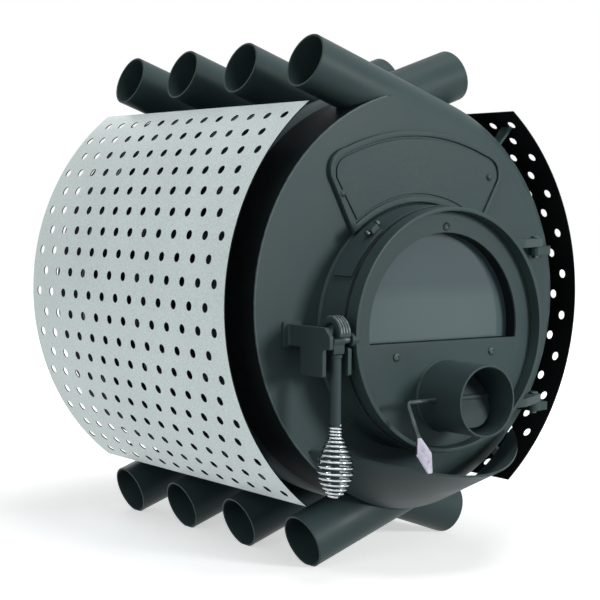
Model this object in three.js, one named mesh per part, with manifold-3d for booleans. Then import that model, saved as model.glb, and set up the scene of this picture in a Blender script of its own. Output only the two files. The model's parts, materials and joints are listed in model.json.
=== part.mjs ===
// Free-flow hot-air stove: seven bent air tubes wrap a firebox, four with their ends to the left and three
// with their ends to the right, between a front plate with a round loading door and a rear plate with a flue
// spigot. Millimetres. +X is right as seen from the front, +Y goes back into the stove, +Z is up.
// While it is built, the stove's long axis is x = 0, z = 0 and the first tube lies in the plane y = 0. The
// last lines move the whole stove so that its origin is on the floor in the middle of its bounding box.
import * as THREE from "three";
import { mergeVertices } from "three/addons/utils/BufferGeometryUtils.js";
import Module from "manifold-3d";

const wasm = await Module();
wasm.setup();

// ---------------------------------------------------------------- driving dimensions

const gap = 0.3; // between pieces that touch
const pinGap = 0.3; // between a pin and its hole, all round

// Air tubes
const tubeDiameter = 76.1;
const tubeWall = 2.9;
const tubeSpacing = 2.1; // clear distance between neighbouring tubes
const bendRadius = 254.7; // of the centreline
const bendShift = 7.2; // the bend's centre lies this far past the middle, on the side of the tube's ends
const tubeSlope = THREE.MathUtils.degToRad(19.6); // of the straight legs
const tubeLeg = 255.7; // length of each straight leg
const leftTubes = 4; // tubes whose ends point left
const rightTubes = 3; // tubes whose ends point right
const floorFlat = 1.5; // depth of the flat on each lower mouth, on which the stove stands
const tubeSides = 16;
const bendSteps = 12;

// Firebox
const plateThickness = 3;
const wallThickness = 3; // of the side walls between the tubes
const wallStop = 21; // each side wall stops this far before the tubes' legs cross
const plateArcFlare = 35.3; // the plates' free left edge is an arc this much wider than the tubes' bend
const plateArcReach = 22.5; // and reaches this far past the tubes' centrelines
const baffleHeight = 45; // of the baffle's underside above the stove's axis
const baffleThickness = 4;
const baffleSetback = 95; // from the front plate to the baffle
const injectorRadius = 10;
const injectorBore = 7;
const injectorLength = 28;
const injectorAngle = THREE.MathUtils.degToRad(35); // above the axis, round the bend

// Flue
const flueRadius = 60;
const flueWall = 3;
const flueLength = 76;
const flueHeight = 135; // of the spigot's axis above the stove's axis
const flueFlangeWidth = 12;
const flueFlangeThickness = 4;
const flueRodSetback = 18; // rod behind the spigot's flange
const flueRodRadius = 5;
const flueLeverLength = 95;
const flueRodOverhang = 28; // rod beyond the spigot's right side
const damperThickness = 2;
const sleeveWall = 2.5; // of the sleeve that holds a damper disc to its rod
const discClearance = 1.2; // between a damper disc and its pipe

// Door collar and the door
const doorDrop = 35; // door axis below the stove's axis
const collarRadius = 168;
const collarWall = 8;
const collarDepth = 52.4;
const collarFoot = 3; // the weld ring stands out this far
const collarFootThickness = 5;
const gasketThickness = 3.7;
const gasketWidth = 13;
const doorStep = 1.5; // the door's edge inside the collar's
const doorDepth = 22.7;
const rimWidth = 6;
const ledgeWidth = 10.5;
const ledgeThickness = 1.9;
const faceThickness = 3.5;
const windowInset = 35.5; // window's edge inside the door's
const windowSill = 16; // straight lower edge of the window, below the door axis
const windowDepth = 20; // from the face's front to the glass
const glassThickness = 4;
const glassOverlap = 4; // also the wall of the frame that the glass seats on
const retainerWidth = 19;
const retainerThickness = 2.5;
const retainerBar = 24; // height of the retainer's straight bar
const screwRadius = 2.5;
const screwHeadRadius = 6;
const screwHeadHeight = 3.2;
const screwInset = 8; // top screw above the window's edge
const screwLowInset = 18; // lower screws below the window's sill
const screwLowReach = 85; // lower screws beside the door axis

// Air intake
const pipeRadius = 48.3;
const pipeWall = 3;
const pipeDrop = 90; // below the door axis
const pipeReach = 69.3; // in front of the door's rim
const intakeRodRadius = 3;
const intakeRodInset = 49; // rod behind the pipe's mouth
const intakeRodReach = 48.7; // rod beyond the pipe's left side
const intakeLeverLength = 50;
const intakeLeverLean = THREE.MathUtils.degToRad(29); // forward of hanging straight down
const tagLength = 48;
const tagWidth = 24;
const tagThickness = 3;

// Door latch, on the left
const latchDrop = 6; // pin below the door axis
const latchSetback = 9; // pin behind the door's front
const latchPinRadius = 5;
const latchPinReach = 40; // pin beyond the door's side
const latchPinHead = 2;
const bossRadius = 9;
const bossLength = 5;
const barrelRadius = 8.5; // of the hook's eye
const clawRadius = 22;
const clawThickness = 8;
const clawShift = 2; // centre of the claw's curve behind the pin
const clawRise = 9; // and above it
const clawTip = 3; // tip of the claw below its curve's centre
const clawBack = 26; // reach behind the pin
const hookWidth = 18;
const hookReach = 25.5; // middle of the hook, left of the door's side
const hookUnderside = 18;
const hookNeck = 7; // half the depth of the neck under the eye
const rodRadius = 7;
const rodLength = 90;
const coreRadius = 5.9;
const catchPlate = 6;
const catchLeftClearance = 11; // between the hook and the left cheek
const catchRightClearance = 6;
const catchTop = 18; // above the pin
const catchArm = 28;
const catchArmReach = 21; // of the arm in front of the pin
const catchTabReach = 6; // and of the tabs
const catchTabDrop = 46; // of the tabs below the pin
const catchFoot = 30;

// Coil grip
const wireRadius = 1.6;
const coilLength = 95;
const neckRadius = 8; // of the wire's centreline
const bulgeRadius = 23.2;
const neckShare = 0.13; // share of the grip's length that stays narrow
const bulgeSkew = 1.166; // puts the widest turn below the middle
const neckPitch = 4.1;
const bulgePitch = 7.9;
const stepsPerTurn = 8;
const wireSides = 5;

// Hinges, on the right
const hingeReach = 23.5; // pin beyond the door's side
const hingeSetback = 14; // pin behind the collar's front
const hingeUpper = 109; // above the door axis
const hingeLower = 115; // below the door axis
const hingeEyeRadius = 11;
const hingePinRadius = 5;
const hingeThickness = 12;
const hingePinHead = 3;

// Name plate, left blank, and the strip on the collar
const namePlateThickness = 6;
const namePlateHalfWidth = 156;
const namePlateRise = 103; // its top above the collar
const namePlateTopRadius = 320;
const namePlateDrop = 64; // from its top to where its rounded corners end
const namePlateTaper = 2; // its sides lean in by this much up to there
const namePlateClearance = 0.8;
const stripThickness = 3;
const stripWidth = 40;
const stripFrom = THREE.MathUtils.degToRad(127);
const stripTo = THREE.MathUtils.degToRad(154);

// Ash lip
const lipHalfWidth = 184;
const lipReach = 140;
const lipDepth = 96; // of the lip's lower edge below its ends
const lipEndDrop = 159; // ends of the lip below the door axis
const lipRimSag = 32;
const lipThickness = 3;
const lipSteps = 16;

// Heat shields
const shieldFlare = 85.6; // each shield's curve is this much wider than the tubes' bend
const shieldStandoff = 31.35; // from the tubes to a shield's outside, at mid height
const shieldThickness = 1.5;
const shieldHalfAngle = THREE.MathUtils.degToRad(52.3);
const standoffAngle = THREE.MathUtils.degToRad(47); // of the brackets; the vents lie between them
const ventRows = 9;
const ventColumns = 7;
const ventSize = 32; // corner to corner
const standoffWidth = 20;
const standoffThickness = 4;

// ---------------------------------------------------------------- sizes that follow

const tubeRadius = tubeDiameter / 2;
const pitch = tubeDiameter + tubeSpacing;
const halfBend = Math.PI / 2 - tubeSlope;
const lastPlane = 2 * (leftTubes - 1) * pitch; // y of the last tube with its ends to the left
const legRise = Math.tan(tubeSlope);
const bendEnd = bendRadius * Math.sin(tubeSlope) - bendShift; // a bend's ends, right of the middle
const crossing = bendRadius * Math.cos(tubeSlope) + bendEnd * legRise; // height at which the legs cross
const wallLeg = bendEnd / Math.cos(tubeSlope) - wallStop;
const plateArcRadius = bendRadius + plateArcFlare;
const plateArcShift = plateArcRadius - plateArcReach - (bendRadius - bendShift);
const plateBack = -tubeRadius - gap;
const plateFront = plateBack - plateThickness;
const rearPlateFront = lastPlane + tubeRadius + gap;
const rearPlateBack = rearPlateFront + plateThickness;
const doorZ = -doorDrop;
const doorRadius = collarRadius - doorStep;
const windowRadius = doorRadius - windowInset;
const screwTopHeight = windowRadius + screwInset;
const screwLowDrop = windowSill + screwLowInset;
const collarBack = plateFront - gap;
const collarFront = collarBack - collarDepth;
const gasketFront = collarFront - gap - gasketThickness;
const doorBack = gasketFront - gap;
const doorFront = doorBack - doorDepth;
const ledgeFront = doorBack - ledgeThickness;
const faceBack = ledgeFront - gap;
const faceFront = faceBack - faceThickness;
const glassFront = faceFront + windowDepth;
const glassBack = glassFront + glassThickness;
const retainerFront = glassBack + gap;
const retainerBack = retainerFront + retainerThickness;
const faceRadius = doorRadius - rimWidth - gap;
const pipeZ = doorZ - pipeDrop;
const pipeMouth = doorFront - pipeReach;
const intakeRodY = pipeMouth + intakeRodInset;
const latchY = doorFront + latchSetback;
const latchZ = doorZ - latchDrop;
const hookX = -doorRadius - hookReach;
const hingeX = doorRadius + hingeReach;
const hingeY = collarFront + hingeSetback;
const spigotFront = rearPlateBack + gap;
const spigotBack = spigotFront + flueLength;
const flueRodY = spigotFront + flueRodSetback;

// ---------------------------------------------------------------- materials

const material = (color, roughness, metalness) =>
  new THREE.MeshStandardMaterial({ color, roughness, metalness });
const paint = material(0x4c5958, 0.55, 0.3);
const paintDark = material(0x3d4847, 0.6, 0.3);
const wallSteel = material(0x23292a, 0.75, 0.3);
const fireSteel = material(0x3a3633, 0.85, 0.2);
const stainless = material(0xd2d8d8, 0.35, 0.85);
const chrome = material(0xdfe4e6, 0.12, 1);
const boltSteel = material(0x566160, 0.45, 0.6);
const rope = material(0x2c2c2b, 0.95, 0);
const glass = new THREE.MeshStandardMaterial({
  color: 0x5f6c70,
  roughness: 0.08,
  transparent: true,
  opacity: 0.5,
});

// ---------------------------------------------------------------- helpers

const stove = new THREE.Group();

function piece(name, geometry, look) {
  const mesh = new THREE.Mesh(geometry, look);
  mesh.name = name;
  stove.add(mesh);
  return mesh;
}

// Geometry to a solid for joining and cutting, and back.
function solid(geometry) {
  const bare = new THREE.BufferGeometry().setAttribute("position", geometry.getAttribute("position"));
  if (geometry.index) bare.setIndex(geometry.index);
  const merged = mergeVertices(bare, 1e-3);
  return new wasm.Manifold(
    new wasm.Mesh({
      numProp: 3,
      vertProperties: new Float32Array(merged.getAttribute("position").array),
      triVerts: new Uint32Array(merged.index.array),
    }),
  );
}

function geometryOf(made) {
  const mesh = made.getMesh();
  const geometry = new THREE.BufferGeometry();
  geometry.setAttribute("position", new THREE.BufferAttribute(new Float32Array(mesh.vertProperties), 3));
  geometry.setIndex(new THREE.BufferAttribute(new Uint32Array(mesh.triVerts), 1));
  geometry.computeVertexNormals();
  return geometry;
}

function join(...geometries) {
  return geometryOf(geometries.map(solid).reduce((sum, next) => sum.add(next)));
}

// Cuts the tools away and keeps the largest piece that is left.
function cut(geometry, ...tools) {
  const left = tools.reduce((body, tool) => body.subtract(solid(tool)), solid(geometry));
  const bodies = left.decompose();
  return geometryOf(bodies.reduce((best, body) => (body.volume() > best.volume() ? body : best)));
}

const box = (x0, x1, y0, y1, z0, z1) =>
  new THREE.BoxGeometry(x1 - x0, y1 - y0, z1 - z0).translate((x0 + x1) / 2, (y0 + y1) / 2, (z0 + z1) / 2);

// Cylinders along each axis, from one end to the other, about a point of the other two axes.
const rodX = (radius, x0, x1, y, z, sides = 16) =>
  new THREE.CylinderGeometry(radius, radius, x1 - x0, sides)
    .rotateZ(Math.PI / 2)
    .translate((x0 + x1) / 2, y, z);
const rodY = (radius, y0, y1, x, z, sides = 24) =>
  new THREE.CylinderGeometry(radius, radius, y1 - y0, sides).translate(x, (y0 + y1) / 2, z);
const rodZ = (radius, z0, z1, x, y, sides = 16) =>
  new THREE.CylinderGeometry(radius, radius, z1 - z0, sides)
    .rotateX(Math.PI / 2)
    .translate(x, y, (z0 + z1) / 2);

function arcPoints(x, y, radius, from, to, steps) {
  const points = [];
  for (let i = 0; i <= steps; i++) {
    const angle = from + ((to - from) * i) / steps;
    points.push(new THREE.Vector2(x + radius * Math.cos(angle), y + radius * Math.sin(angle)));
  }
  return points;
}

const circlePoints = (x, y, radius, sides) => arcPoints(x, y, radius, 0, 2 * Math.PI, sides).slice(0, -1);

function outline(points, ...holes) {
  const shape = new THREE.Shape(points);
  for (const hole of holes) shape.holes.push(new THREE.Path(hole));
  return shape;
}

const extrude = (shape, depth) => new THREE.ExtrudeGeometry(shape, { depth, bevelEnabled: false, steps: 1 });

// An outline in X and Z, made thick along Y; one in Y and Z, along X; one in X and Y, along Z.
const plateXZ = (shape, y0, y1) => extrude(shape, y1 - y0).rotateX(Math.PI / 2).translate(0, y1, 0);
const plateXY = (shape, z0, z1) => extrude(shape, z1 - z0).translate(0, 0, z0);
function plateYZ(shape, x0, x1) {
  const turn = new THREE.Matrix4().makeBasis(
    new THREE.Vector3(0, 1, 0),
    new THREE.Vector3(0, 0, 1),
    new THREE.Vector3(1, 0, 0),
  );
  return extrude(shape, x1 - x0).applyMatrix4(turn).translate(x0, 0, 0);
}

// A closed profile of [radius, y] pairs, turned about a line along Y.
function turned(profile, sides, x, z) {
  const points = profile.map(([radius, y]) => new THREE.Vector2(radius, y));
  if (THREE.ShapeUtils.area(points) < 0) points.reverse();
  const open = points.findIndex((point) => point.x === 0);
  if (open < 0) points.push(points[0].clone());
  else while (points[0].x !== 0 || points[points.length - 1].x !== 0) points.push(points.shift());
  return new THREE.LatheGeometry(points, sides).translate(x, 0, z);
}

// ---------------------------------------------------------------- air tubes

// The centreline of a tube: a straight leg, the bend, a straight leg. side is 1 where the bend goes round the
// right.
// The steps of an extrusion along it fall on the ends of the legs and evenly round the bend.
class BentPath extends THREE.Curve {
  constructor(side, y, leg) {
    super();
    Object.assign(this, { side, y, leg });
  }

  getUtoTmapping(u) {
    return u;
  }

  getPoint(t, target = new THREE.Vector3()) {
    const step = t * (bendSteps + 2) - 1;
    const turn = THREE.MathUtils.clamp(step / bendSteps, 0, 1);
    const angle = (2 * turn - 1) * halfBend;
    const beyond = Math.max(-step, step - bendSteps, 0) * this.leg;
    const x = bendRadius * Math.cos(angle) - bendShift - beyond * Math.cos(tubeSlope);
    const z = bendRadius * Math.sin(angle) + Math.sign(angle) * beyond * Math.sin(tubeSlope);
    return target.set(this.side * x, this.y, z);
  }
}

const alongBend = (shape, side, y, leg) =>
  new THREE.ExtrudeGeometry(shape, { steps: bendSteps + 2, extrudePath: new BentPath(side, y, leg) });

const fullTube = (side, y, radius) =>
  alongBend(outline(circlePoints(0, 0, radius, tubeSides)), side, y, tubeLeg);

const mouthRise = tubeLeg * Math.sin(tubeSlope) + tubeRadius * Math.cos(tubeSlope);
const floorZ = -(bendRadius * Math.cos(tubeSlope) + mouthRise) + floorFlat;

// A short air nozzle through the inner wall of a tube's bend, square to it.
function nozzle(radius, side, y, start, length) {
  const reach = start + length / 2;
  return new THREE.CylinderGeometry(radius, radius, length, 12)
    .rotateZ(Math.PI / 2)
    .translate(reach, 0, 0)
    .rotateY(side > 0 ? -injectorAngle : injectorAngle - Math.PI)
    .translate(-side * bendShift, y, 0);
}

function airTube(name, side, y, drilled) {
  const section = outline(
    circlePoints(0, 0, tubeRadius, tubeSides),
    circlePoints(0, 0, tubeRadius - tubeWall, tubeSides),
  );
  const tube = alongBend(section, side, y, tubeLeg);
  const below = box(-bendRadius * 2, bendRadius * 2, y - pitch, y + pitch, floorZ - 2 * tubeDiameter, floorZ);
  const innerWall = bendRadius - tubeRadius - 1;
  const hole = nozzle(injectorBore, side, y, innerWall, 2 * tubeWall + 2);
  piece(name, drilled ? cut(tube, below, hole) : cut(tube, below), paint);
}

for (let i = 0; i < leftTubes; i++) airTube(`air_tube_left_${i + 1}`, 1, 2 * i * pitch, i === 0);
for (let i = 0; i < rightTubes; i++) airTube(`air_tube_right_${i + 1}`, -1, (2 * i + 1) * pitch, i === 0);

// ---------------------------------------------------------------- firebox walls and plates

// A side wall fills the space between two tubes that bend round the same side, and ends on the tube that
// crosses it.
function sideWall(name, side, y) {
  const width = 2 * pitch - tubeDiameter - 2 * gap;
  const half = width / 2;
  const section = outline([
    new THREE.Vector2(-half, -wallThickness / 2),
    new THREE.Vector2(half, -wallThickness / 2),
    new THREE.Vector2(half, wallThickness / 2),
    new THREE.Vector2(-half, wallThickness / 2),
  ]);
  piece(name, cut(alongBend(section, side, y, wallLeg), fullTube(-side, y, tubeRadius + gap)), wallSteel);
}

for (let i = 0; i < leftTubes - 1; i++) sideWall(`side_wall_right_${i + 1}`, 1, (2 * i + 1) * pitch);
for (let i = 0; i < rightTubes - 1; i++) sideWall(`side_wall_left_${i + 1}`, -1, 2 * (i + 1) * pitch);

// The plates' outline: the free left edge is one arc, and the right edge follows the end tube's centreline.
const reach = plateArcShift + crossing * legRise;
const spread = (1 + legRise ** 2) * (plateArcShift ** 2 + crossing ** 2 - plateArcRadius ** 2);
const tipX = (reach - Math.sqrt(reach ** 2 - spread)) / (1 + legRise ** 2);
const tipZ = crossing - tipX * legRise;
const tipAngle = Math.atan2(tipZ, tipX - plateArcShift);

function plateOutline(...holes) {
  const left = arcPoints(plateArcShift, 0, plateArcRadius, tipAngle, 2 * Math.PI - tipAngle, 24);
  const right = arcPoints(-bendShift, 0, bendRadius, -halfBend, halfBend, 18);
  return outline([...left, ...right], ...holes);
}

piece(
  "front_plate",
  plateXZ(plateOutline(circlePoints(0, doorZ, collarRadius - collarWall, 32)), plateFront, plateBack),
  paint,
);
piece(
  "rear_plate",
  plateXZ(
    plateOutline(circlePoints(0, flueHeight, flueRadius - flueWall, 24)),
    rearPlateFront,
    rearPlateBack,
  ),
  paintDark,
);

// The end walls close the left side between a plate and the nearest tube that bends round the left.
function endWall(name, plateY, tubeY, crossingY) {
  const outer = arcPoints(plateArcShift, 0, plateArcRadius, tipAngle, 2 * Math.PI - tipAngle, 24);
  const innerRadius = plateArcRadius - wallThickness;
  const inner = arcPoints(plateArcShift, 0, innerRadius, 2 * Math.PI - tipAngle, tipAngle, 24);
  const band = plateXZ(outline([...outer, ...inner]), Math.min(plateY, tubeY), Math.max(plateY, tubeY));
  const wall = cut(band, fullTube(-1, tubeY, tubeRadius + gap), fullTube(1, crossingY, tubeRadius + gap));
  piece(name, wall, wallSteel);
}

endWall("end_wall_front", plateBack + gap, pitch, 0);
endWall("end_wall_rear", rearPlateFront - gap, lastPlane - pitch, lastPlane);

// The baffle spans the firebox between the tubes' inner sides and stands off the front plate.
const baffleTop = baffleHeight + baffleThickness;
const baffleHalf = Math.sqrt((bendRadius - tubeRadius) ** 2 - baffleTop ** 2) - bendShift - 2 * gap;
piece(
  "baffle_plate",
  box(-baffleHalf, baffleHalf, plateBack + baffleSetback, rearPlateFront - gap, baffleHeight, baffleTop),
  fireSteel,
);

for (const [name, side, y] of [["injector_right", 1, 0], ["injector_left", -1, pitch]]) {
  const start = bendRadius - tubeRadius - injectorLength;
  const stub = nozzle(injectorRadius, side, y, start, injectorLength + tubeRadius / 2);
  const bore = nozzle(injectorBore, side, y, start - 1, injectorLength + tubeRadius);
  piece(name, cut(stub, fullTube(side, y, tubeRadius + gap), bore), fireSteel);
}

// ---------------------------------------------------------------- flue

const flueBore = flueRadius - flueWall;
const flueRodEnd = flueRadius + flueRodOverhang;

piece(
  "flue_spigot",
  cut(
    turned(
      [
        [flueBore, spigotFront],
        [flueRadius + flueFlangeWidth, spigotFront],
        [flueRadius + flueFlangeWidth, spigotFront + flueFlangeThickness],
        [flueRadius, spigotFront + flueFlangeThickness],
        [flueRadius, spigotBack],
        [flueBore, spigotBack],
      ],
      28,
      0,
      flueHeight,
    ),
    rodX(flueRodRadius + pinGap, -2 * flueRadius, 2 * flueRadius, flueRodY, flueHeight),
  ),
  paintDark,
);

// A damper disc with a sleeve for its rod. It lies flat across a pipe along Y at no lean, and level at a
// right angle.
function damperDisc(radius, rodRadius, y, z, lean) {
  const sleeve = rodRadius + pinGap + sleeveWall;
  const halfSleeve = Math.sqrt(radius ** 2 - sleeve ** 2) - 1;
  const disc = join(
    rodY(radius, -damperThickness / 2, damperThickness / 2, 0, 0),
    rodX(sleeve, -halfSleeve, halfSleeve, 0, 0, 12),
  );
  const bored = cut(disc, rodX(rodRadius + pinGap, -2 * radius, 2 * radius, 0, 0, 12));
  return bored.rotateX(-lean).translate(0, y, z);
}

// The flue damper stands open, its disc level and its lever hanging.
piece(
  "flue_damper_disc",
  damperDisc(flueBore - discClearance, flueRodRadius, flueRodY, flueHeight, Math.PI / 2),
  fireSteel,
);
piece("flue_damper_rod", rodX(flueRodRadius, -flueRadius - 4, flueRodEnd, flueRodY, flueHeight), boltSteel);
piece(
  "flue_damper_lever",
  cut(
    join(
      rodX(2.2 * flueRodRadius, flueRodEnd - 14, flueRodEnd - 4, flueRodY, flueHeight),
      box(
        flueRodEnd - 12,
        flueRodEnd - 6,
        flueRodY - 6,
        flueRodY + 6,
        flueHeight - flueLeverLength,
        flueHeight - flueRodRadius,
      ),
    ),
    rodX(flueRodRadius + pinGap, flueRodEnd - 20, flueRodEnd + 5, flueRodY, flueHeight),
  ),
  boltSteel,
);

// ---------------------------------------------------------------- door collar

const collarBore = collarRadius - collarWall;

piece(
  "door_collar",
  turned(
    [
      [collarBore, collarBack],
      [collarRadius + collarFoot, collarBack],
      [collarRadius + collarFoot, collarBack - collarFootThickness],
      [collarRadius, collarBack - collarFootThickness],
      [collarRadius, collarFront],
      [collarBore, collarFront],
    ],
    32,
    0,
    doorZ,
  ),
  paint,
);

const stripInner = collarRadius + gap;
piece(
  "collar_strip",
  plateXZ(
    outline([
      ...arcPoints(0, doorZ, stripInner + stripThickness, stripFrom, stripTo, 6),
      ...arcPoints(0, doorZ, stripInner, stripTo, stripFrom, 6),
    ]),
    collarFront + gap,
    collarFront + gap + stripWidth,
  ),
  paint,
);

// The name plate hugs the collar from above. It is blank.
const plateFootRadius = collarRadius + collarFoot + namePlateClearance;
const namePlateTop = collarRadius + namePlateRise;
const plateFootAngle = THREE.MathUtils.degToRad(48.5);
const sideTop = new THREE.Vector2(namePlateHalfWidth - namePlateTaper, namePlateTop - namePlateDrop);
const corner = new THREE.Vector2(
  namePlateHalfWidth + 1.5 * namePlateTaper,
  namePlateTop - namePlateDrop / 2,
);
const shoulderX = namePlateHalfWidth - namePlateDrop / 2;
const topCentre = namePlateTop - namePlateTopRadius;
const shoulderRise = Math.sqrt(namePlateTopRadius ** 2 - shoulderX ** 2);
const shoulder = new THREE.Vector2(shoulderX, topCentre + shoulderRise);
const topHalfAngle = Math.asin(shoulderX / namePlateTopRadius);
const cornerPoints = new THREE.QuadraticBezierCurve(sideTop, corner, shoulder).getPoints(5);
const mirrored = (points) => points.map((point) => new THREE.Vector2(-point.x, point.y)).reverse();
const topPoints = arcPoints(
  0,
  topCentre,
  namePlateTopRadius,
  Math.PI / 2 - topHalfAngle,
  Math.PI / 2 + topHalfAngle,
  8,
).slice(1, -1);
const footPoints = arcPoints(0, 0, plateFootRadius, Math.PI - plateFootAngle, plateFootAngle, 12);
piece(
  "name_plate",
  plateXZ(
    outline([...cornerPoints, ...topPoints, ...mirrored(cornerPoints), ...footPoints]),
    collarBack - namePlateThickness,
    collarBack,
  ).translate(0, 0, doorZ),
  paint,
);

// ---------------------------------------------------------------- ash lip

// The lip rises from an arc on the front plate to a rim that bulges forward. It is this sheet, made thick
// along Z.
function ashLip() {
  const arcRadius = (lipHalfWidth ** 2 + lipDepth ** 2) / (2 * lipDepth);
  const endZ = doorZ - lipEndDrop;
  const arcZ = endZ - lipDepth + arcRadius;
  const widest = THREE.MathUtils.degToRad(80);
  const rows = [];
  for (let i = 0; i <= lipSteps; i++) {
    const angle = -widest + (2 * widest * i) / lipSteps;
    const x = lipHalfWidth * Math.sin(angle);
    const low = [x, collarBack, arcZ - Math.sqrt(arcRadius ** 2 - x ** 2)];
    const rim = [x, collarBack - lipReach * Math.cos(angle) ** 2, endZ - lipRimSag * Math.cos(angle) ** 3];
    const lifted = [rim, low].map(([px, py, pz]) => [px, py, pz + lipThickness]);
    rows.push([low, rim, ...lifted]);
  }
  const geometry = new THREE.BufferGeometry();
  geometry.setAttribute("position", new THREE.Float32BufferAttribute(rows.flat(2), 3));
  const triangles = [0, 1, 2, 0, 2, 3];
  for (let i = 0; i < lipSteps; i++) {
    for (let k = 0; k < 4; k++) {
      const a = 4 * i + k;
      const b = 4 * i + ((k + 1) % 4);
      triangles.push(a, a + 4, b, b, a + 4, b + 4);
    }
  }
  const end = 4 * lipSteps;
  triangles.push(end, end + 2, end + 1, end, end + 3, end + 2);
  geometry.setIndex(triangles);
  geometry.computeVertexNormals();
  return geometry;
}

piece("ash_lip", ashLip(), paint);

// ---------------------------------------------------------------- door

piece(
  "door_gasket",
  turned(
    [
      [collarRadius - gap - gasketWidth, gasketFront],
      [collarRadius - 2 * gap, gasketFront],
      [collarRadius - 2 * gap, gasketFront + gasketThickness],
      [collarRadius - gap - gasketWidth, gasketFront + gasketThickness],
    ],
    32,
    0,
    doorZ,
  ),
  rope,
);

const ledgeBore = doorRadius - rimWidth - ledgeWidth;
const doorRing = turned(
  [
    [ledgeBore, doorBack],
    [doorRadius, doorBack],
    [doorRadius, doorFront],
    [doorRadius - rimWidth, doorFront],
    [doorRadius - rimWidth, ledgeFront],
    [ledgeBore, ledgeFront],
  ],
  40,
  0,
  doorZ,
);
const bossEnd = -doorRadius - bossLength;
const latchPinInner = -doorRadius + rimWidth;
piece(
  "door_ring",
  cut(
    join(doorRing, rodX(bossRadius, bossEnd, latchPinInner - 2, latchY, latchZ)),
    rodX(latchPinRadius + pinGap, bossEnd - 5, latchPinInner + 20, latchY, latchZ),
  ),
  paint,
);

// The window is a circle about the door axis, cut off by a straight sill.
function windowOutline(radius, sill, steps) {
  const angle = Math.asin(sill / radius);
  return arcPoints(0, doorZ, radius, -angle, Math.PI + angle, steps);
}

const screwPlaces = [
  ["face_screw_top", 0, doorZ + screwTopHeight],
  ["face_screw_left", -screwLowReach, doorZ - screwLowDrop],
  ["face_screw_right", screwLowReach, doorZ - screwLowDrop],
];
const screwHoles = screwPlaces.map(([, x, z]) => circlePoints(x, z, screwRadius + pinGap, 10));

// A frame stands round the window behind the face, and the glass seats on its back.
const windowSteps = 20;
const windowHole = windowOutline(windowRadius, windowSill, windowSteps);
const glassEdge = windowOutline(windowRadius + glassOverlap, windowSill + glassOverlap, windowSteps);
piece(
  "door_face",
  join(
    plateXZ(
      outline(
        circlePoints(0, doorZ, faceRadius, 40),
        windowHole,
        circlePoints(0, pipeZ, pipeRadius + gap, 28),
        ...screwHoles,
      ),
      faceFront,
      faceBack,
    ),
    plateXZ(outline(glassEdge, windowHole), faceFront, glassFront - gap),
  ),
  paint,
);
piece(
  "window_glass",
  plateXZ(outline(glassEdge), glassFront, glassBack),
  glass,
);

// The retainer is a band round the glass with a straight bar under it, screwed on through the door face.
const bandOuter = windowRadius - glassOverlap + retainerWidth;
const barBottom = windowSill + retainerBar;
piece(
  "glass_retainer",
  plateXZ(
    outline(
      windowOutline(bandOuter, barBottom, windowSteps),
      windowOutline(windowRadius - glassOverlap, windowSill - glassOverlap, windowSteps),
      ...screwHoles,
    ),
    retainerFront,
    retainerBack,
  ),
  boltSteel,
);

for (const [name, x, z] of screwPlaces) {
  piece(
    name,
    turned(
      [
        [0, retainerBack],
        [screwRadius, retainerBack],
        [screwRadius, faceFront - gap],
        [screwHeadRadius, faceFront - gap],
        [screwHeadRadius * 0.75, faceFront - gap - screwHeadHeight * 0.75],
        [0, faceFront - gap - screwHeadHeight],
      ],
      10,
      x,
      z,
    ),
    boltSteel,
  );
}

// ---------------------------------------------------------------- air intake

const pipeBore = pipeRadius - pipeWall;
piece(
  "intake_pipe",
  cut(
    turned(
      [
        [pipeBore, faceBack],
        [pipeRadius, faceBack],
        [pipeRadius, pipeMouth],
        [pipeBore, pipeMouth],
      ],
      28,
      0,
      pipeZ,
    ),
    rodX(intakeRodRadius + pinGap, -2 * pipeRadius, 2 * pipeRadius, intakeRodY, pipeZ, 12),
  ),
  paint,
);
piece(
  "air_damper_disc",
  damperDisc(pipeBore - discClearance, intakeRodRadius, intakeRodY, pipeZ, intakeLeverLean),
  fireSteel,
);

// The rod is bent down at its left end into the lever that carries the tag.
const leverX = -pipeRadius - intakeRodReach;
const leverPlace = (geometry) => geometry.rotateX(-intakeLeverLean).translate(leverX, intakeRodY, pipeZ);
piece(
  "air_damper_rod",
  join(
    rodX(intakeRodRadius, leverX, pipeRadius + 4, intakeRodY, pipeZ, 12),
    new THREE.SphereGeometry(intakeRodRadius, 12, 8).translate(leverX, intakeRodY, pipeZ),
    leverPlace(rodZ(intakeRodRadius, -intakeLeverLength, 0, 0, 0, 12)),
  ),
  boltSteel,
);
piece(
  "air_damper_tag",
  leverPlace(
    plateXZ(
      outline([
        new THREE.Vector2(-intakeRodRadius, 0),
        new THREE.Vector2(-tagWidth / 2, -tagLength * 0.45),
        new THREE.Vector2(-intakeRodRadius, -tagLength),
        new THREE.Vector2(intakeRodRadius, -tagLength),
        new THREE.Vector2(tagWidth / 2, -tagLength * 0.45),
        new THREE.Vector2(intakeRodRadius, 0),
      ]),
      -tagThickness / 2,
      tagThickness / 2,
    ).translate(0, 0, -intakeLeverLength - gap),
  ),
  stainless,
);

// ---------------------------------------------------------------- latch

const latchPinEnd = -doorRadius - latchPinReach;
piece(
  "latch_pin",
  join(
    rodX(latchPinRadius, latchPinEnd, latchPinInner, latchY, latchZ),
    rodX(latchPinRadius + latchPinHead, latchPinEnd - 3, latchPinEnd, latchY, latchZ),
  ),
  boltSteel,
);

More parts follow.
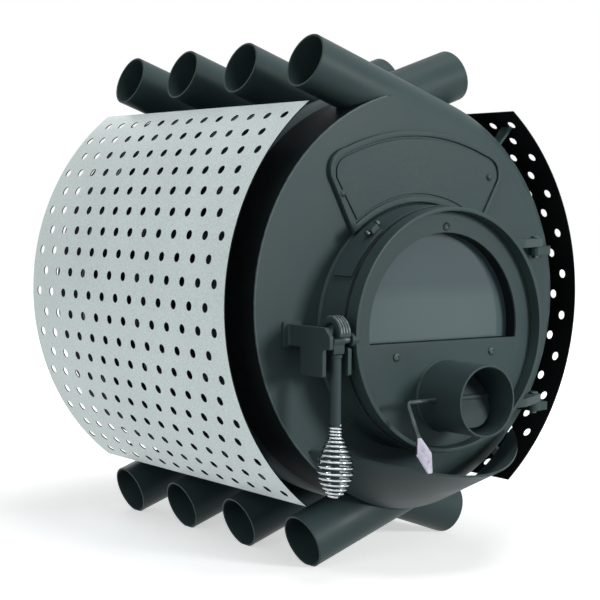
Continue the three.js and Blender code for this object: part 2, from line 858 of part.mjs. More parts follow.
// The hook is a claw that rises behind the pin and curves over it, with its eye and its neck below.
const degrees = THREE.MathUtils.degToRad;
const clawBore = clawRadius - clawThickness;
const innerBack = clawBack - clawThickness;
const hookOutline = outline(
  [
    new THREE.Vector2(clawShift - clawRadius, clawRise - clawTip),
    new THREE.Vector2(clawShift - clawBore, clawRise - clawTip),
    ...arcPoints(clawShift, clawRise, clawBore, Math.PI, degrees(70), 8),
    new THREE.Vector2(innerBack, clawRise + clawThickness),
    new THREE.Vector2(innerBack, clawThickness),
    new THREE.Vector2(barrelRadius, 0),
    ...arcPoints(0, 0, barrelRadius, degrees(20), degrees(220), 10),
    new THREE.Vector2(-hookNeck, -hookUnderside),
    new THREE.Vector2(hookNeck, -hookUnderside),
    new THREE.Vector2(innerBack, -barrelRadius),
    new THREE.Vector2(clawBack, 0),
    new THREE.Vector2(clawBack, clawRise + clawThickness),
    new THREE.Vector2(innerBack, clawRise + clawRadius - 1),
    ...arcPoints(clawShift, clawRise, clawRadius, degrees(80), Math.PI, 8),
  ],
  circlePoints(0, 0, latchPinRadius + pinGap, 12),
);
piece(
  "latch_hook",
  plateYZ(hookOutline, hookX - hookWidth / 2, hookX + hookWidth / 2).translate(0, latchY, latchZ),
  paint,
);

const rodTop = latchZ - hookUnderside - gap;
const rodBottom = rodTop - rodLength;
const gripBottom = rodBottom - coilLength - 2 * gap;
piece(
  "handle_rod",
  join(
    rodZ(rodRadius, rodBottom, rodTop, hookX, latchY),
    rodZ(coreRadius, gripBottom, rodBottom + 5, hookX, latchY),
  ),
  paint,
);

// The grip is one unbroken coil of wire, narrow at its neck and bulging below.
function coilGrip() {
  const middle = [];
  const turnStep = (2 * Math.PI) / stepsPerTurn;
  let depth = 0;
  let angle = 0;
  while (depth < coilLength - 2 * wireRadius) {
    const share = depth / (coilLength - 2 * wireRadius);
    const along = Math.max(share - neckShare, 0) / (1 - neckShare);
    const bulge = Math.sin(Math.PI * along ** bulgeSkew);
    const radius = neckRadius + (bulgeRadius - neckRadius) * bulge;
    middle.push(new THREE.Vector3(radius * Math.cos(angle), radius * Math.sin(angle), -wireRadius - depth));
    depth += (neckPitch + (bulgePitch - neckPitch) * bulge) / stepsPerTurn;
    angle += turnStep;
  }
  const clear = leastGap(middle);
  const turns = middle.length / stepsPerTurn;
  console.log(`coil grip: ${turns.toFixed(1)} turns, least gap ${clear.toFixed(2)} mm`);
  return wireAlong(middle);
}

// The least distance between wire surfaces of points at least half a turn apart.
function leastGap(middle) {
  let least = Infinity;
  middle.forEach((point, i) => {
    for (let j = i + stepsPerTurn / 2; j < middle.length; j++) {
      least = Math.min(least, point.distanceTo(middle[j]));
    }
  });
  return least - 2 * wireRadius;
}

// A wire of a few flat sides along points that wind about the Z axis, closed at both ends.
function wireAlong(middle) {
  const positions = [];
  const up = new THREE.Vector3(0, 0, 1);
  middle.forEach((point, i) => {
    const before = middle[Math.max(i - 1, 0)];
    const after = middle[Math.min(i + 1, middle.length - 1)];
    const tangent = after.clone().sub(before).normalize();
    const outward = tangent.clone().cross(up).normalize();
    const rise = outward.clone().cross(tangent).normalize();
    for (let k = 0; k < wireSides; k++) {
      const angle = (2 * Math.PI * k) / wireSides;
      const ring = point
        .clone()
        .addScaledVector(outward, wireRadius * Math.cos(angle))
        .addScaledVector(rise, wireRadius * Math.sin(angle));
      positions.push(ring.x, ring.y, ring.z);
    }
  });
  const triangles = [];
  const last = (middle.length - 1) * wireSides;
  for (let i = 0; i < middle.length - 1; i++) {
    for (let k = 0; k < wireSides; k++) {
      const a = i * wireSides + k;
      const b = i * wireSides + ((k + 1) % wireSides);
      triangles.push(a, a + wireSides, b, b, a + wireSides, b + wireSides);
    }
  }
  for (let k = 1; k < wireSides - 1; k++) {
    triangles.push(0, k, k + 1);
    triangles.push(last, last + k + 1, last + k);
  }
  const geometry = new THREE.BufferGeometry();
  geometry.setAttribute("position", new THREE.Float32BufferAttribute(positions, 3));
  geometry.setIndex(triangles);
  geometry.computeVertexNormals();
  return geometry;
}

piece("grip_coil", coilGrip().translate(hookX, latchY, rodBottom - gap), chrome);

// The catch on the front plate straddles the hook: an arm, two cheeks and a web behind the hook.
const cheekLeft = hookX - hookWidth / 2 - catchLeftClearance;
const cheekRight = hookX + hookWidth / 2 + catchRightClearance;
const clawReach = Math.hypot(innerBack, clawRise + clawRadius - 1); // of its farthest corner from the pin
const webFront = latchY + clawReach + 2;
const armFront = latchY - catchArmReach;
const tabFront = latchY - catchTabReach;
const tabTop = latchZ - bossRadius - 1;
const tabBottom = latchZ - catchTabDrop;
piece(
  "latch_catch",
  join(
    box(
      cheekLeft - catchPlate,
      cheekLeft,
      armFront,
      collarBack,
      latchZ + catchTop - catchArm,
      latchZ + catchTop,
    ),
    box(cheekLeft - catchPlate, cheekLeft, tabFront, webFront + catchPlate, tabBottom, latchZ),
    box(cheekLeft - catchPlate, cheekRight + catchPlate, webFront, webFront + catchPlate, tabBottom, tabTop),
    box(cheekRight, cheekRight + catchPlate, tabFront, webFront + catchPlate, tabBottom, tabTop),
    box(
      cheekLeft - catchFoot / 2,
      cheekLeft + catchFoot / 2,
      collarBack - catchPlate / 2,
      collarBack,
      latchZ + catchTop - catchArm - 3,
      latchZ + catchTop + 3,
    ),
  ),
  paint,
);

// ---------------------------------------------------------------- hinges

// On each hinge the body's lug lies under the door's strap, and one pin goes down through both.
function hinge(place, z) {
  const eye = rodZ(hingeEyeRadius, z - hingeThickness, z - gap, hingeX, hingeY);
  const holeReach = 3 * hingeThickness;
  const pinHole = rodZ(hingePinRadius + pinGap, z - holeReach, z + holeReach, hingeX, hingeY);
  const level = Math.min(Math.abs(z), Math.abs(z - hingeThickness));
  const seat = Math.sqrt(bendRadius ** 2 - level ** 2) - bendShift;
  const lug = plateXY(
    outline([
      new THREE.Vector2(hingeX - hingeEyeRadius, hingeY),
      new THREE.Vector2(hingeX + hingeEyeRadius * 0.6, hingeY - hingeEyeRadius * 0.8),
      new THREE.Vector2(hingeX + 2 * hingeEyeRadius, hingeY - hingeEyeRadius * 0.6),
      new THREE.Vector2(seat + tubeRadius * 0.5, plateFront),
      new THREE.Vector2(seat + tubeRadius * 0.5, 0),
      new THREE.Vector2(seat + gap, 0),
      new THREE.Vector2(seat + gap, collarBack),
      new THREE.Vector2(seat - tubeRadius * 0.5, collarBack),
    ]),
    z - hingeThickness,
    z - gap,
  );
  piece(`hinge_lug_${place}`, cut(join(eye, lug), pinHole, fullTube(1, 0, tubeRadius + gap)), paint);

  const half = Math.sqrt(doorRadius ** 2 - (Math.abs(z - doorZ) + hingeThickness) ** 2);
  const strapBack = doorBack - 2;
  const strapFront = doorFront + 3;
  const strap = plateXY(
    outline([
      new THREE.Vector2(half - rimWidth, strapFront),
      new THREE.Vector2(half + 2 * hingeEyeRadius, strapFront),
      new THREE.Vector2(hingeX + hingeEyeRadius * 0.64, hingeY - hingeEyeRadius * 0.77),
      new THREE.Vector2(hingeX - hingeEyeRadius * 0.6, hingeY + hingeEyeRadius * 0.8),
      new THREE.Vector2(collarRadius - hingeEyeRadius * 2, strapBack),
      new THREE.Vector2(half - rimWidth, strapBack),
    ]),
    z,
    z + hingeThickness,
  );
  const strapEye = rodZ(hingeEyeRadius, z, z + hingeThickness, hingeX, hingeY);
  const doorSide = rodY(doorRadius + gap, doorFront - 5, doorBack + 5, 0, doorZ, 40);
  piece(`hinge_strap_${place}`, cut(join(strap, strapEye), pinHole, doorSide), paint);

  piece(
    `hinge_pin_${place}`,
    join(
      rodZ(hingePinRadius, z - hingeThickness - 4, z + hingeThickness + gap, hingeX, hingeY),
      rodZ(
        hingePinRadius + 2,
        z + hingeThickness + gap,
        z + hingeThickness + gap + hingePinHead,
        hingeX,
        hingeY,
      ),
    ),
    boltSteel,
  );
}

hinge("upper", doorZ + hingeUpper);
hinge("lower", doorZ - hingeLower);

// ---------------------------------------------------------------- heat shields

const shieldRadius = bendRadius + shieldFlare;
const shieldShift = shieldRadius - shieldStandoff - (bendRadius + tubeRadius - bendShift);
const shieldFront = -tubeRadius;
const shieldBack = lastPlane + tubeRadius - 5;

const ventPitch = (shieldBack - shieldFront) / (ventColumns + 0.5);

// A four-sided opening through a shield, a corner forwards.
function vent(angle, y) {
  const drill = new THREE.CylinderGeometry(ventSize / 2, ventSize / 2, ventSize, 4);
  drill.rotateZ(-Math.PI / 2).translate(shieldRadius, 0, 0).rotateY(-angle);
  return drill.translate(0, y, 0);
}

// A shield that faces +X about its own centre, with a flat of the sheet for each row of vents. Every second
// row is set half a pitch back.
function shieldSheet() {
  const rowStep = (2 * standoffAngle) / ventRows;
  const angles = [-shieldHalfAngle];
  for (let i = 0; i <= ventRows; i++) angles.push(i * rowStep - standoffAngle);
  angles.push(shieldHalfAngle);
  const arc = (radius) => angles.map((a) => new THREE.Vector2(radius * Math.cos(a), radius * Math.sin(a)));
  const section = [...arc(shieldRadius), ...arc(shieldRadius - shieldThickness).reverse()];
  const vents = [];
  for (let row = 0; row < ventRows; row++) {
    const start = shieldFront + (row % 2 ? ventPitch : ventPitch / 2);
    for (let i = 0; i < ventColumns; i++) {
      vents.push(vent((row + 0.5) * rowStep - standoffAngle, start + i * ventPitch));
    }
  }
  return cut(plateXZ(outline(section), shieldFront, shieldBack), ...vents);
}

for (const [place, side] of [["left", -1], ["right", 1]]) {
  const centre = -side * shieldShift;
  const sheet = shieldSheet().rotateY(side > 0 ? 0 : Math.PI);
  piece(`shield_${place}`, sheet.translate(centre, 0, 0), stainless);

  const planes = side > 0 ? [0, lastPlane] : [pitch, lastPlane - pitch];
  planes.forEach((y, row) => {
    for (const [height, lift] of [["upper", 1], ["lower", -1]]) {
      const inside = shieldRadius - shieldThickness - gap;
      const bar = box(
        bendRadius,
        inside,
        y - standoffWidth / 2,
        y + standoffWidth / 2,
        -standoffThickness / 2,
        standoffThickness / 2,
      );
      bar.rotateY(-lift * (side > 0 ? standoffAngle : Math.PI - standoffAngle)).translate(centre, 0, 0);
      const name = `shield_bracket_${place}_${row ? "rear" : "front"}_${height}`;
      piece(name, cut(bar, fullTube(side, y, tubeRadius + gap)), paintDark);
    }
  });
}

// ---------------------------------------------------------------- origin on the floor, in the middle

const bounds = new THREE.Box3().setFromObject(stove, true);
const middle = bounds.getCenter(new THREE.Vector3());
stove.position.set(-middle.x, -middle.y, -bounds.min.z);

export default stove;
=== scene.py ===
"""The looks of a free-flow hot-air stove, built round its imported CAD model.

Sizes are millimetres in the stove's own frame: x to the right seen from the door, y back from the middle
plane of the first air tube, z up from the stove's long axis. at() turns such a place into metres.
"""

import json
import math

import bmesh
import bpy
from mathutils import Matrix, Vector


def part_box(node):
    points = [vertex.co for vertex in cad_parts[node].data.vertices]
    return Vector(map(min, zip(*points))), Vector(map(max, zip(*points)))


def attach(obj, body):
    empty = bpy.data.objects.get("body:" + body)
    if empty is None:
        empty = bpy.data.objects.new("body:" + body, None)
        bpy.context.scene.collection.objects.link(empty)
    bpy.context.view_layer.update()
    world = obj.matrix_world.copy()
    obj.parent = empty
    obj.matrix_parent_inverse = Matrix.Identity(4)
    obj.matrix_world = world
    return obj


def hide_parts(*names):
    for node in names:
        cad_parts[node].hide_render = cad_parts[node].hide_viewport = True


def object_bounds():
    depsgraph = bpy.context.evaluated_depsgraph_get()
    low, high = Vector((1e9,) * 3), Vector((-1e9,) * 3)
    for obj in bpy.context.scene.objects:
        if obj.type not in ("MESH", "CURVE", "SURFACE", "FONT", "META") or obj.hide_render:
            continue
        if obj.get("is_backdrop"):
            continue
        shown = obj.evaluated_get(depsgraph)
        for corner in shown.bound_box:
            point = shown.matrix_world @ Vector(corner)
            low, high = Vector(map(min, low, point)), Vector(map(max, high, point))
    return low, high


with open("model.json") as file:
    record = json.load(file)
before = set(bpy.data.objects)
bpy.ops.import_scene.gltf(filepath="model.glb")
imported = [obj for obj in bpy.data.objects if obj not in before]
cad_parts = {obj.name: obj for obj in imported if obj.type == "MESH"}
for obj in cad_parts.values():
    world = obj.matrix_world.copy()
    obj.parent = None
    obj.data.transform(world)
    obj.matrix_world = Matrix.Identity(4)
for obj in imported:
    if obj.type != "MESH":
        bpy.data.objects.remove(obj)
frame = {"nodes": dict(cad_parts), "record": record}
cad_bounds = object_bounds()

# ---------------------------------------- the stove's frame and its sizes

MM = 0.001
shield_low, shield_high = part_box("shield_left")
first_low, first_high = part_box("air_tube_left_1")
ORIGIN = Vector((0, (first_low.y + first_high.y) / 2, (shield_low.z + shield_high.z) / 2))

BEND_RADIUS = 254.7  # of a tube's middle line
BEND_SHIFT = 7.2  # of the bend's centre from the stove's axis, towards the tube's open ends
SLOPE = math.radians(19.6)  # of a tube's straight legs
TUBE_LEG = 255.7
TUBE_WALL = 2.9
HALF_BEND = math.pi / 2 - SLOPE
GAP = 0.3  # between pieces that touch


def at(x, y, z):
    return Vector((x, y, z)) * MM + ORIGIN


class Span:
    """The box of a CAD node, in millimetres of the stove's frame."""

    def __init__(self, node):
        low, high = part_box(node)
        self.x0, self.y0, self.z0 = (low - ORIGIN) / MM
        self.x1, self.y1, self.z1 = (high - ORIGIN) / MM
        self.x, self.y, self.z = (low + high) / 2 / MM - ORIGIN / MM


tube_first = Span("air_tube_left_1")
TUBE_RADIUS = (tube_first.y1 - tube_first.y0) / 2
PITCH = Span("air_tube_right_1").y
FLOOR = tube_first.z0
LAST_PLANE = Span("air_tube_left_4").y
collar = Span("door_collar")
DOOR_Z = collar.z
COLLAR_WALL = 8
COLLAR_FOOT = 3  # the weld at its root stands this far out
COLLAR_RADIUS = collar.x1 - COLLAR_FOOT
COLLAR_BORE = COLLAR_RADIUS - COLLAR_WALL
spigot = Span("flue_spigot")
FLANGE = 12
FLUE_WALL = 3
FLUE = spigot.x1 - FLANGE

# ---------------------------------------- camera, floor and light

# the photo's camera, fitted to the stove's outlines
YAW = math.radians(35.866)
PITCH_DOWN = math.radians(3.557)
ROLL = math.radians(0.331)
SENSOR = 36
LENS = 95.3
CAMERA_PLACE = (-1420.18, -1731.27, 137.17)
forward = Vector(
    (math.sin(YAW) * math.cos(PITCH_DOWN), math.cos(YAW) * math.cos(PITCH_DOWN), -math.sin(PITCH_DOWN))
)
level_right = Vector((math.cos(YAW), -math.sin(YAW), 0))
level_up = level_right.cross(forward)
right = level_right * math.cos(ROLL) + level_up * math.sin(ROLL)
up = level_up * math.cos(ROLL) - level_right * math.sin(ROLL)

camera = bpy.data.objects.new("camera", bpy.data.cameras.new("camera"))
camera.data.sensor_fit = "HORIZONTAL"
camera.data.sensor_width = SENSOR
camera.data.lens = LENS
camera.data.clip_end = 50
turn = Matrix((right, up, -forward)).transposed().to_4x4()
camera.matrix_world = Matrix.Translation(at(*CAMERA_PLACE)) @ turn
bpy.context.scene.collection.objects.link(camera)
bpy.context.scene.camera = camera
bpy.context.scene.view_settings.view_transform = "Standard"


def new_material(name):
    material = bpy.data.materials.new(name)
    material.use_nodes = True
    nodes = material.node_tree.nodes
    return material, nodes, material.node_tree.links, nodes["Principled BSDF"]


def math_node(nodes, links, operation, *values, clamp=False):
    """A Math node fed by other nodes' outputs."""
    node = nodes.new("ShaderNodeMath")
    node.operation = operation
    node.use_clamp = clamp
    for socket, value in zip(node.inputs, values):
        links.new(value, socket)
    return node.outputs[0]


WORLD_STRENGTH = 0.16
world = bpy.data.worlds.new("studio")
world.use_nodes = True
bpy.context.scene.world = world
world_nodes, world_links = world.node_tree.nodes, world.node_tree.links
world_light = world_nodes["Background"]
world_light.inputs["Color"].default_value = (0.93, 0.97, 1, 1)
world_light.inputs["Strength"].default_value = WORLD_STRENGTH
world_white = world_nodes.new("ShaderNodeBackground")
world_white.inputs["Color"].default_value = (1, 1, 1, 1)
rays = world_nodes.new("ShaderNodeLightPath").outputs
seen = math_node(world_nodes, world_links, "ADD", rays["Is Camera Ray"], rays["Is Glossy Ray"], clamp=True)
seen = math_node(world_nodes, world_links, "ADD", seen, rays["Is Transmission Ray"], clamp=True)
world_mix = world_nodes.new("ShaderNodeMixShader")  # dim to the light, white to whatever looks at it
for socket, value in zip(world_mix.inputs, (seen, world_light.outputs[0], world_white.outputs[0])):
    world_links.new(value, socket)
world_links.new(world_mix.outputs[0], world_nodes["World Output"].inputs["Surface"])

LAMPS = {  # place and the height aimed at, in metres, then size and power
    "key_light": ((1.25, -3.15, 1.1), 0.35, 0.9, 62),
    "top_light": ((0.1, -0.8, 3.2), 0.3, 1.5, 26),
    "left_light": ((-2.9, -1.3, 1.2), 0.35, 1.8, 14),
    "rear_light": ((1.2, 3.3, 1.7), 0.35, 1.6, 20),
}
for name, (place, aim, size, power) in LAMPS.items():
    lamp = bpy.data.lights.new(name, "AREA")
    lamp.shape = "DISK"
    lamp.size = size
    lamp.energy = power
    holder = bpy.data.objects.new(name, lamp)
    holder.location = place
    holder.rotation_euler = (Vector((0, 0, aim)) - Vector(place)).to_track_quat("-Z", "Y").to_euler()
    bpy.context.scene.collection.objects.link(holder)

FLOOR_REACH = 9
floor_corners = [(x * FLOOR_REACH, y * FLOOR_REACH, 0) for x, y in ((-1, -1), (1, -1), (1, 1), (-1, 1))]
floor_mesh = bpy.data.meshes.new("floor")
floor_mesh.from_pydata(floor_corners, [], [(0, 1, 2, 3)])
floor = bpy.data.objects.new("floor", floor_mesh)
bpy.context.scene.collection.objects.link(floor)
floor_material, floor_nodes, floor_links, floor_shader = new_material("floor_white")
floor_shader.inputs["Roughness"].default_value = 1
floor_shader.inputs["Specular IOR Level"].default_value = 0
rays = floor_nodes.new("ShaderNodeLightPath").outputs
floor_colour = floor_nodes.new("ShaderNodeMix")
floor_colour.data_type = "RGBA"  # paper white to the camera, duller to the light
floor_colour.inputs["A"].default_value = (0.17, 0.18, 0.18, 1)
floor_colour.inputs["B"].default_value = (0.96, 0.96, 0.96, 1)
floor_links.new(rays["Is Camera Ray"], floor_colour.inputs["Factor"])
floor_links.new(floor_colour.outputs["Result"], floor_shader.inputs["Base Color"])
floor_place = floor_nodes.new("ShaderNodeTexCoord")
floor_reach = floor_nodes.new("ShaderNodeVectorMath")
floor_reach.operation = "LENGTH"
floor_links.new(floor_place.outputs["Object"], floor_reach.inputs[0])
floor_fade = floor_nodes.new("ShaderNodeMapRange")  # white far from the stove, duller where its shadow lies
floor_fade.interpolation_type = "SMOOTHSTEP"
for socket, value in {"From Min": 0.35, "From Max": 1.1, "To Min": 0.55, "To Max": 1}.items():
    floor_fade.inputs[socket].default_value = value
floor_links.new(floor_reach.outputs["Value"], floor_fade.inputs["Value"])
shares = (rays["Is Camera Ray"], floor_fade.outputs["Result"], rays["Is Glossy Ray"])
floor_glow = floor_nodes.new("ShaderNodeEmission")
floor_links.new(math_node(floor_nodes, floor_links, "MULTIPLY_ADD", *shares), floor_glow.inputs["Strength"])
floor_sum = floor_nodes.new("ShaderNodeAddShader")
floor_links.new(floor_shader.outputs[0], floor_sum.inputs[0])
floor_links.new(floor_glow.outputs[0], floor_sum.inputs[1])
floor_links.new(floor_sum.outputs[0], floor_nodes["Material Output"].inputs["Surface"])
floor_mesh.materials.append(floor_material)
floor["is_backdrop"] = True

# ---------------------------------------- materials


def noise(nodes, links, scale, detail=4, roughness=0.6):
    place = nodes.new("ShaderNodeTexCoord")
    texture = nodes.new("ShaderNodeTexNoise")
    texture.inputs["Scale"].default_value = scale
    texture.inputs["Detail"].default_value = detail
    texture.inputs["Roughness"].default_value = roughness
    links.new(place.outputs["Object"], texture.inputs["Vector"])
    return texture.outputs["Fac"]


def spread(nodes, links, value, low, high, start=0.35, end=0.65):
    """value from start to end, spread over low to high, which are numbers or colours."""
    if isinstance(low, tuple):
        ramp = nodes.new("ShaderNodeValToRGB")
        ramp.color_ramp.elements[0].position = start
        ramp.color_ramp.elements[0].color = (*low, 1)
        ramp.color_ramp.elements[1].position = end
        ramp.color_ramp.elements[1].color = (*high, 1)
        links.new(value, ramp.inputs["Fac"])
        return ramp.outputs["Color"]
    span = nodes.new("ShaderNodeMapRange")
    span.inputs["From Min"].default_value = start
    span.inputs["From Max"].default_value = end
    span.inputs["To Min"].default_value = low
    span.inputs["To Max"].default_value = high
    links.new(value, span.inputs["Value"])
    return span.outputs["Result"]


def bump(nodes, links, shader, layers):
    """Stacks bumps: each layer is a height and its depth in metres."""
    normal = None
    for height, depth in layers:
        node = nodes.new("ShaderNodeBump")
        node.inputs["Distance"].default_value = depth
        links.new(height, node.inputs["Height"])
        if normal:
            links.new(normal, node.inputs["Normal"])
        normal = node.outputs["Normal"]
    links.new(normal, shader.inputs["Normal"])


def surface(name, low, high, rough, metal=0.0, grain=900, depth=0.00006, patch=7, extra=None, shine=0.2):
    """Metal or paint: colours low to high and roughness drift in patches, and a fine grain lies on them."""
    material, nodes, links, shader = new_material(name)
    patches = noise(nodes, links, patch, 5)
    fine = noise(nodes, links, grain, 2)
    links.new(spread(nodes, links, patches, low, high), shader.inputs["Base Color"])
    links.new(spread(nodes, links, patches, rough[0], rough[1]), shader.inputs["Roughness"])
    shader.inputs["Metallic"].default_value = metal
    shader.inputs["Specular IOR Level"].default_value = shine
    layers = [(fine, depth)]
    if extra:
        layers.append((noise(nodes, links, extra[0], 3), extra[1]))
    bump(nodes, links, shader, layers)
    return material


PAINT = (0.043, 0.069, 0.0715)
grey_paint = surface("grey_paint", PAINT, (0.053, 0.084, 0.0865), (0.42, 0.55))
cast_paint = surface(
    "cast_paint", PAINT, (0.055, 0.085, 0.0875), (0.45, 0.6), 0, 420, 0.0002, 9, extra=(110, 0.0005)
)
# lighter paint for the front plate's seam: a painted highlight along the plate's left edge
seam_highlight_paint = surface("seam_highlight_paint", (0.1, 0.145, 0.148), (0.13, 0.18, 0.184), (0.4, 0.52), 0, 500, 0.0002, 40)
# near-black copy of the grey paint: painted shade on the firebox walls between the tubes and on the window's
# opening, which lie in shade
wall_paint = surface("wall_paint", (0.005, 0.008, 0.01), (0.011, 0.016, 0.018), (0.55, 0.7), shine=0.07)
# near-black for the shields' inner side; on their cut edges and hole walls it is painted shade, dulling edges
# that the front light would brighten
shield_back_and_edge_shade = surface("shield_back_and_edge_shade", (0.006, 0.007, 0.008), (0.011, 0.012, 0.013), (0.55, 0.7), shine=0.08)
fire_steel = surface("fire_steel", (0.05, 0.045, 0.04), (0.11, 0.1, 0.095), (0.55, 0.8), 0.5, 300, 0.0002, 12)
damper_paint = surface(
    "damper_paint", (0.05, 0.074, 0.077), (0.075, 0.1, 0.104), (0.5, 0.65), 0.2, 500, 0.0001, 30
)
bolt_steel = surface(
    "bolt_steel", (0.05, 0.07, 0.072), (0.1, 0.128, 0.128), (0.32, 0.48), 0.5, 700, 0.00004, 60
)
# lighter, shinier steel for the hook's ribs: a painted highlight along their ridges
rib_highlight_steel = surface(
    "rib_highlight_steel", (0.1, 0.125, 0.125), (0.24, 0.275, 0.27), (0.38, 0.6), 0.55, 500, 0.0002, 160
)
tag_steel = surface("tag_steel", (0.36, 0.35, 0.43), (0.5, 0.49, 0.58), (0.25, 0.4), 0.85, 500, 0.00005, 90)
coil_chrome = surface("coil_chrome", (0.44, 0.48, 0.5), (0.58, 0.62, 0.64), (0.08, 0.16), 1, 300, 0.00001, 60)
gasket_rope = surface(
    "gasket_rope", (0.014, 0.018, 0.019), (0.04, 0.048, 0.049), (0.9, 1), 0, 350, 0.0006, 60
)


def shield_metal():
    """Dull silver sheet with a fine speckle."""
    material, nodes, links, shader = new_material("shield_steel")
    speck = noise(nodes, links, 420, 3, 0.7)
    patches = noise(nodes, links, 5, 3)
    mix = nodes.new("ShaderNodeMix")
    mix.data_type = "RGBA"
    mix.blend_type = "MULTIPLY"
    mix.inputs["Factor"].default_value = 1
    links.new(spread(nodes, links, speck, (0.46, 0.53, 0.53), (0.62, 0.7, 0.69), 0.36, 0.62), mix.inputs["A"])
    links.new(spread(nodes, links, patches, (0.94, 0.94, 0.94), (1, 1, 1)), mix.inputs["B"])
    links.new(mix.outputs["Result"], shader.inputs["Base Color"])
    shader.inputs["Metallic"].default_value = 0.92
    links.new(spread(nodes, links, speck, 0.38, 0.56), shader.inputs["Roughness"])
    bump(nodes, links, shader, [(speck, 0.00012)])
    return material


def window_ceramic():
    """Clear ceramic glass with a faint smoke film, paler low down."""
    material, nodes, links, shader = new_material("window_glass")
    film = noise(nodes, links, 5, 3)
    place = nodes.new("ShaderNodeTexCoord")
    split = nodes.new("ShaderNodeSeparateXYZ")
    links.new(place.outputs["Object"], split.inputs[0])
    middle = at(0, 0, DOOR_Z).z
    band = (middle + 0.04, middle + 0.062)  # the heights between which it darkens
    height = spread(nodes, links, split.outputs["Z"], 1, 0, *band)
    mix = nodes.new("ShaderNodeMix")
    mix.data_type = "RGBA"
    links.new(height, mix.inputs["Factor"])
    links.new(spread(nodes, links, film, (0.115, 0.17, 0.185), (0.125, 0.185, 0.2)), mix.inputs["A"])
    links.new(spread(nodes, links, film, (0.15, 0.225, 0.235), (0.165, 0.24, 0.25)), mix.inputs["B"])
    links.new(mix.outputs["Result"], shader.inputs["Base Color"])
    shader.inputs["Roughness"].default_value = 0.06
    shader.inputs["IOR"].default_value = 1.5
    shader.inputs["Specular IOR Level"].default_value = 0.35
    shader.inputs["Transmission Weight"].default_value = 0.3
    return material


shield_steel = shield_metal()
window_glass = window_ceramic()

# ---------------------------------------- mesh helpers


def add_mesh(name, vertices, faces):
    mesh = bpy.data.meshes.new(name)
    mesh.from_pydata([tuple(at(*v)) for v in vertices], [], faces)
    return add_object(name, mesh)


def add_rings(name, rings, closed=False):
    """A skin over rings of points. The last ring joins the first where closed, or else both ends are flat."""
    size = len(rings[0])
    faces = []
    for i in range(len(rings) if closed else len(rings) - 1):
        j = (i + 1) % len(rings)
        for k in range(size):
            n = (k + 1) % size
            faces.append((i * size + k, i * size + n, j * size + n, j * size + k))
    if not closed:
        faces += [tuple(range(size)), tuple((len(rings) - 1) * size + k for k in range(size))]
    return add_mesh(name, [point for ring in rings for point in ring], faces)


def add_object(name, mesh):
    work = bmesh.new()
    work.from_mesh(mesh)
    bmesh.ops.remove_doubles(work, verts=work.verts, dist=1e-6)
    bmesh.ops.recalc_face_normals(work, faces=work.faces)
    work.to_mesh(mesh)
    work.free()
    piece = bpy.data.objects.new(name, mesh)
    bpy.context.scene.collection.objects.link(piece)
    return piece


def dress(piece, body, slot, *looks, nodes=(), sharp=38, weighted=True):
    """Shades a piece and hands it to its body, in place of the CAD nodes it stands for."""
    for look in looks:
        piece.data.materials.append(look)
    piece.data.shade_smooth()
    piece.data.set_sharp_from_angle(angle=math.radians(sharp))
    if weighted:
        modifier = piece.modifiers.new("weighted", "WEIGHTED_NORMAL")
        modifier.keep_sharp = True
    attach(piece, body)
    if nodes:
        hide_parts(*nodes)
    return piece


def arc(x, z, radius, start, end, steps=48):
    """Points on an arc, angles in degrees from +x towards +z."""
    turns = [math.radians(start + (end - start) * i / steps) for i in range(steps + 1)]
    return [(x + radius * math.cos(a), z + radius * math.sin(a)) for a in turns]


def circle(x, z, radius, steps=64):
    return arc(x, z, radius, 0, 360, steps)[:-1]


def quadratic(a, b, c, steps=8):
    """Points on a short curve from a to c, drawn towards b."""
    a, b, c = Vector(a), Vector(b), Vector(c)
    shares = [i / steps for i in range(steps + 1)]
    return [tuple(a * (1 - t) ** 2 + b * 2 * t * (1 - t) + c * t * t) for t in shares]


def soften(points, size, closed=True):
    """Rounds each corner of an outline with a short curve."""
    result = []
    count = len(points)
    for i, point in enumerate(points):
        here = Vector(point)
        if not closed and i in (0, count - 1):
            result.append(tuple(here))
            continue
        before = Vector(points[i - 1]) - here
        after = Vector(points[(i + 1) % count]) - here
        first = here + before.normalized() * min(size, before.length * 0.45)
        last = here + after.normalized() * min(size, after.length * 0.45)
        result += quadratic(first, here, last, 2)
    return result


def turned(name, profile, centre, axis="Y", segments=96):
    """A closed profile of (radius, place along the axis), turned about the line through centre."""
    rings = []
    for j in range(segments):
        a = 2 * math.pi * j / segments
        ring = []
        for radius, along in profile:
            u, v = radius * math.cos(a), radius * math.sin(a)
            place = {"X": (along, u, v), "Y": (u, along, v), "Z": (u, v, along)}[axis]
            ring.append(Vector(place) + Vector(centre))
        rings.append(ring)
    return add_rings(name, rings, closed=True)


def mirrored(profile):
    """The profile of a piece that is alike at both ends, from that of one end."""
    return profile + [(radius, -along) for radius, along in reversed(profile)]


PLANES = {
    "XZ": Matrix(((1, 0, 0), (0, 0, -1), (0, 1, 0))),
    "YZ": Matrix(((0, 0, 1), (1, 0, 0), (0, 1, 0))),
    "XY": Matrix.Identity(3),
}


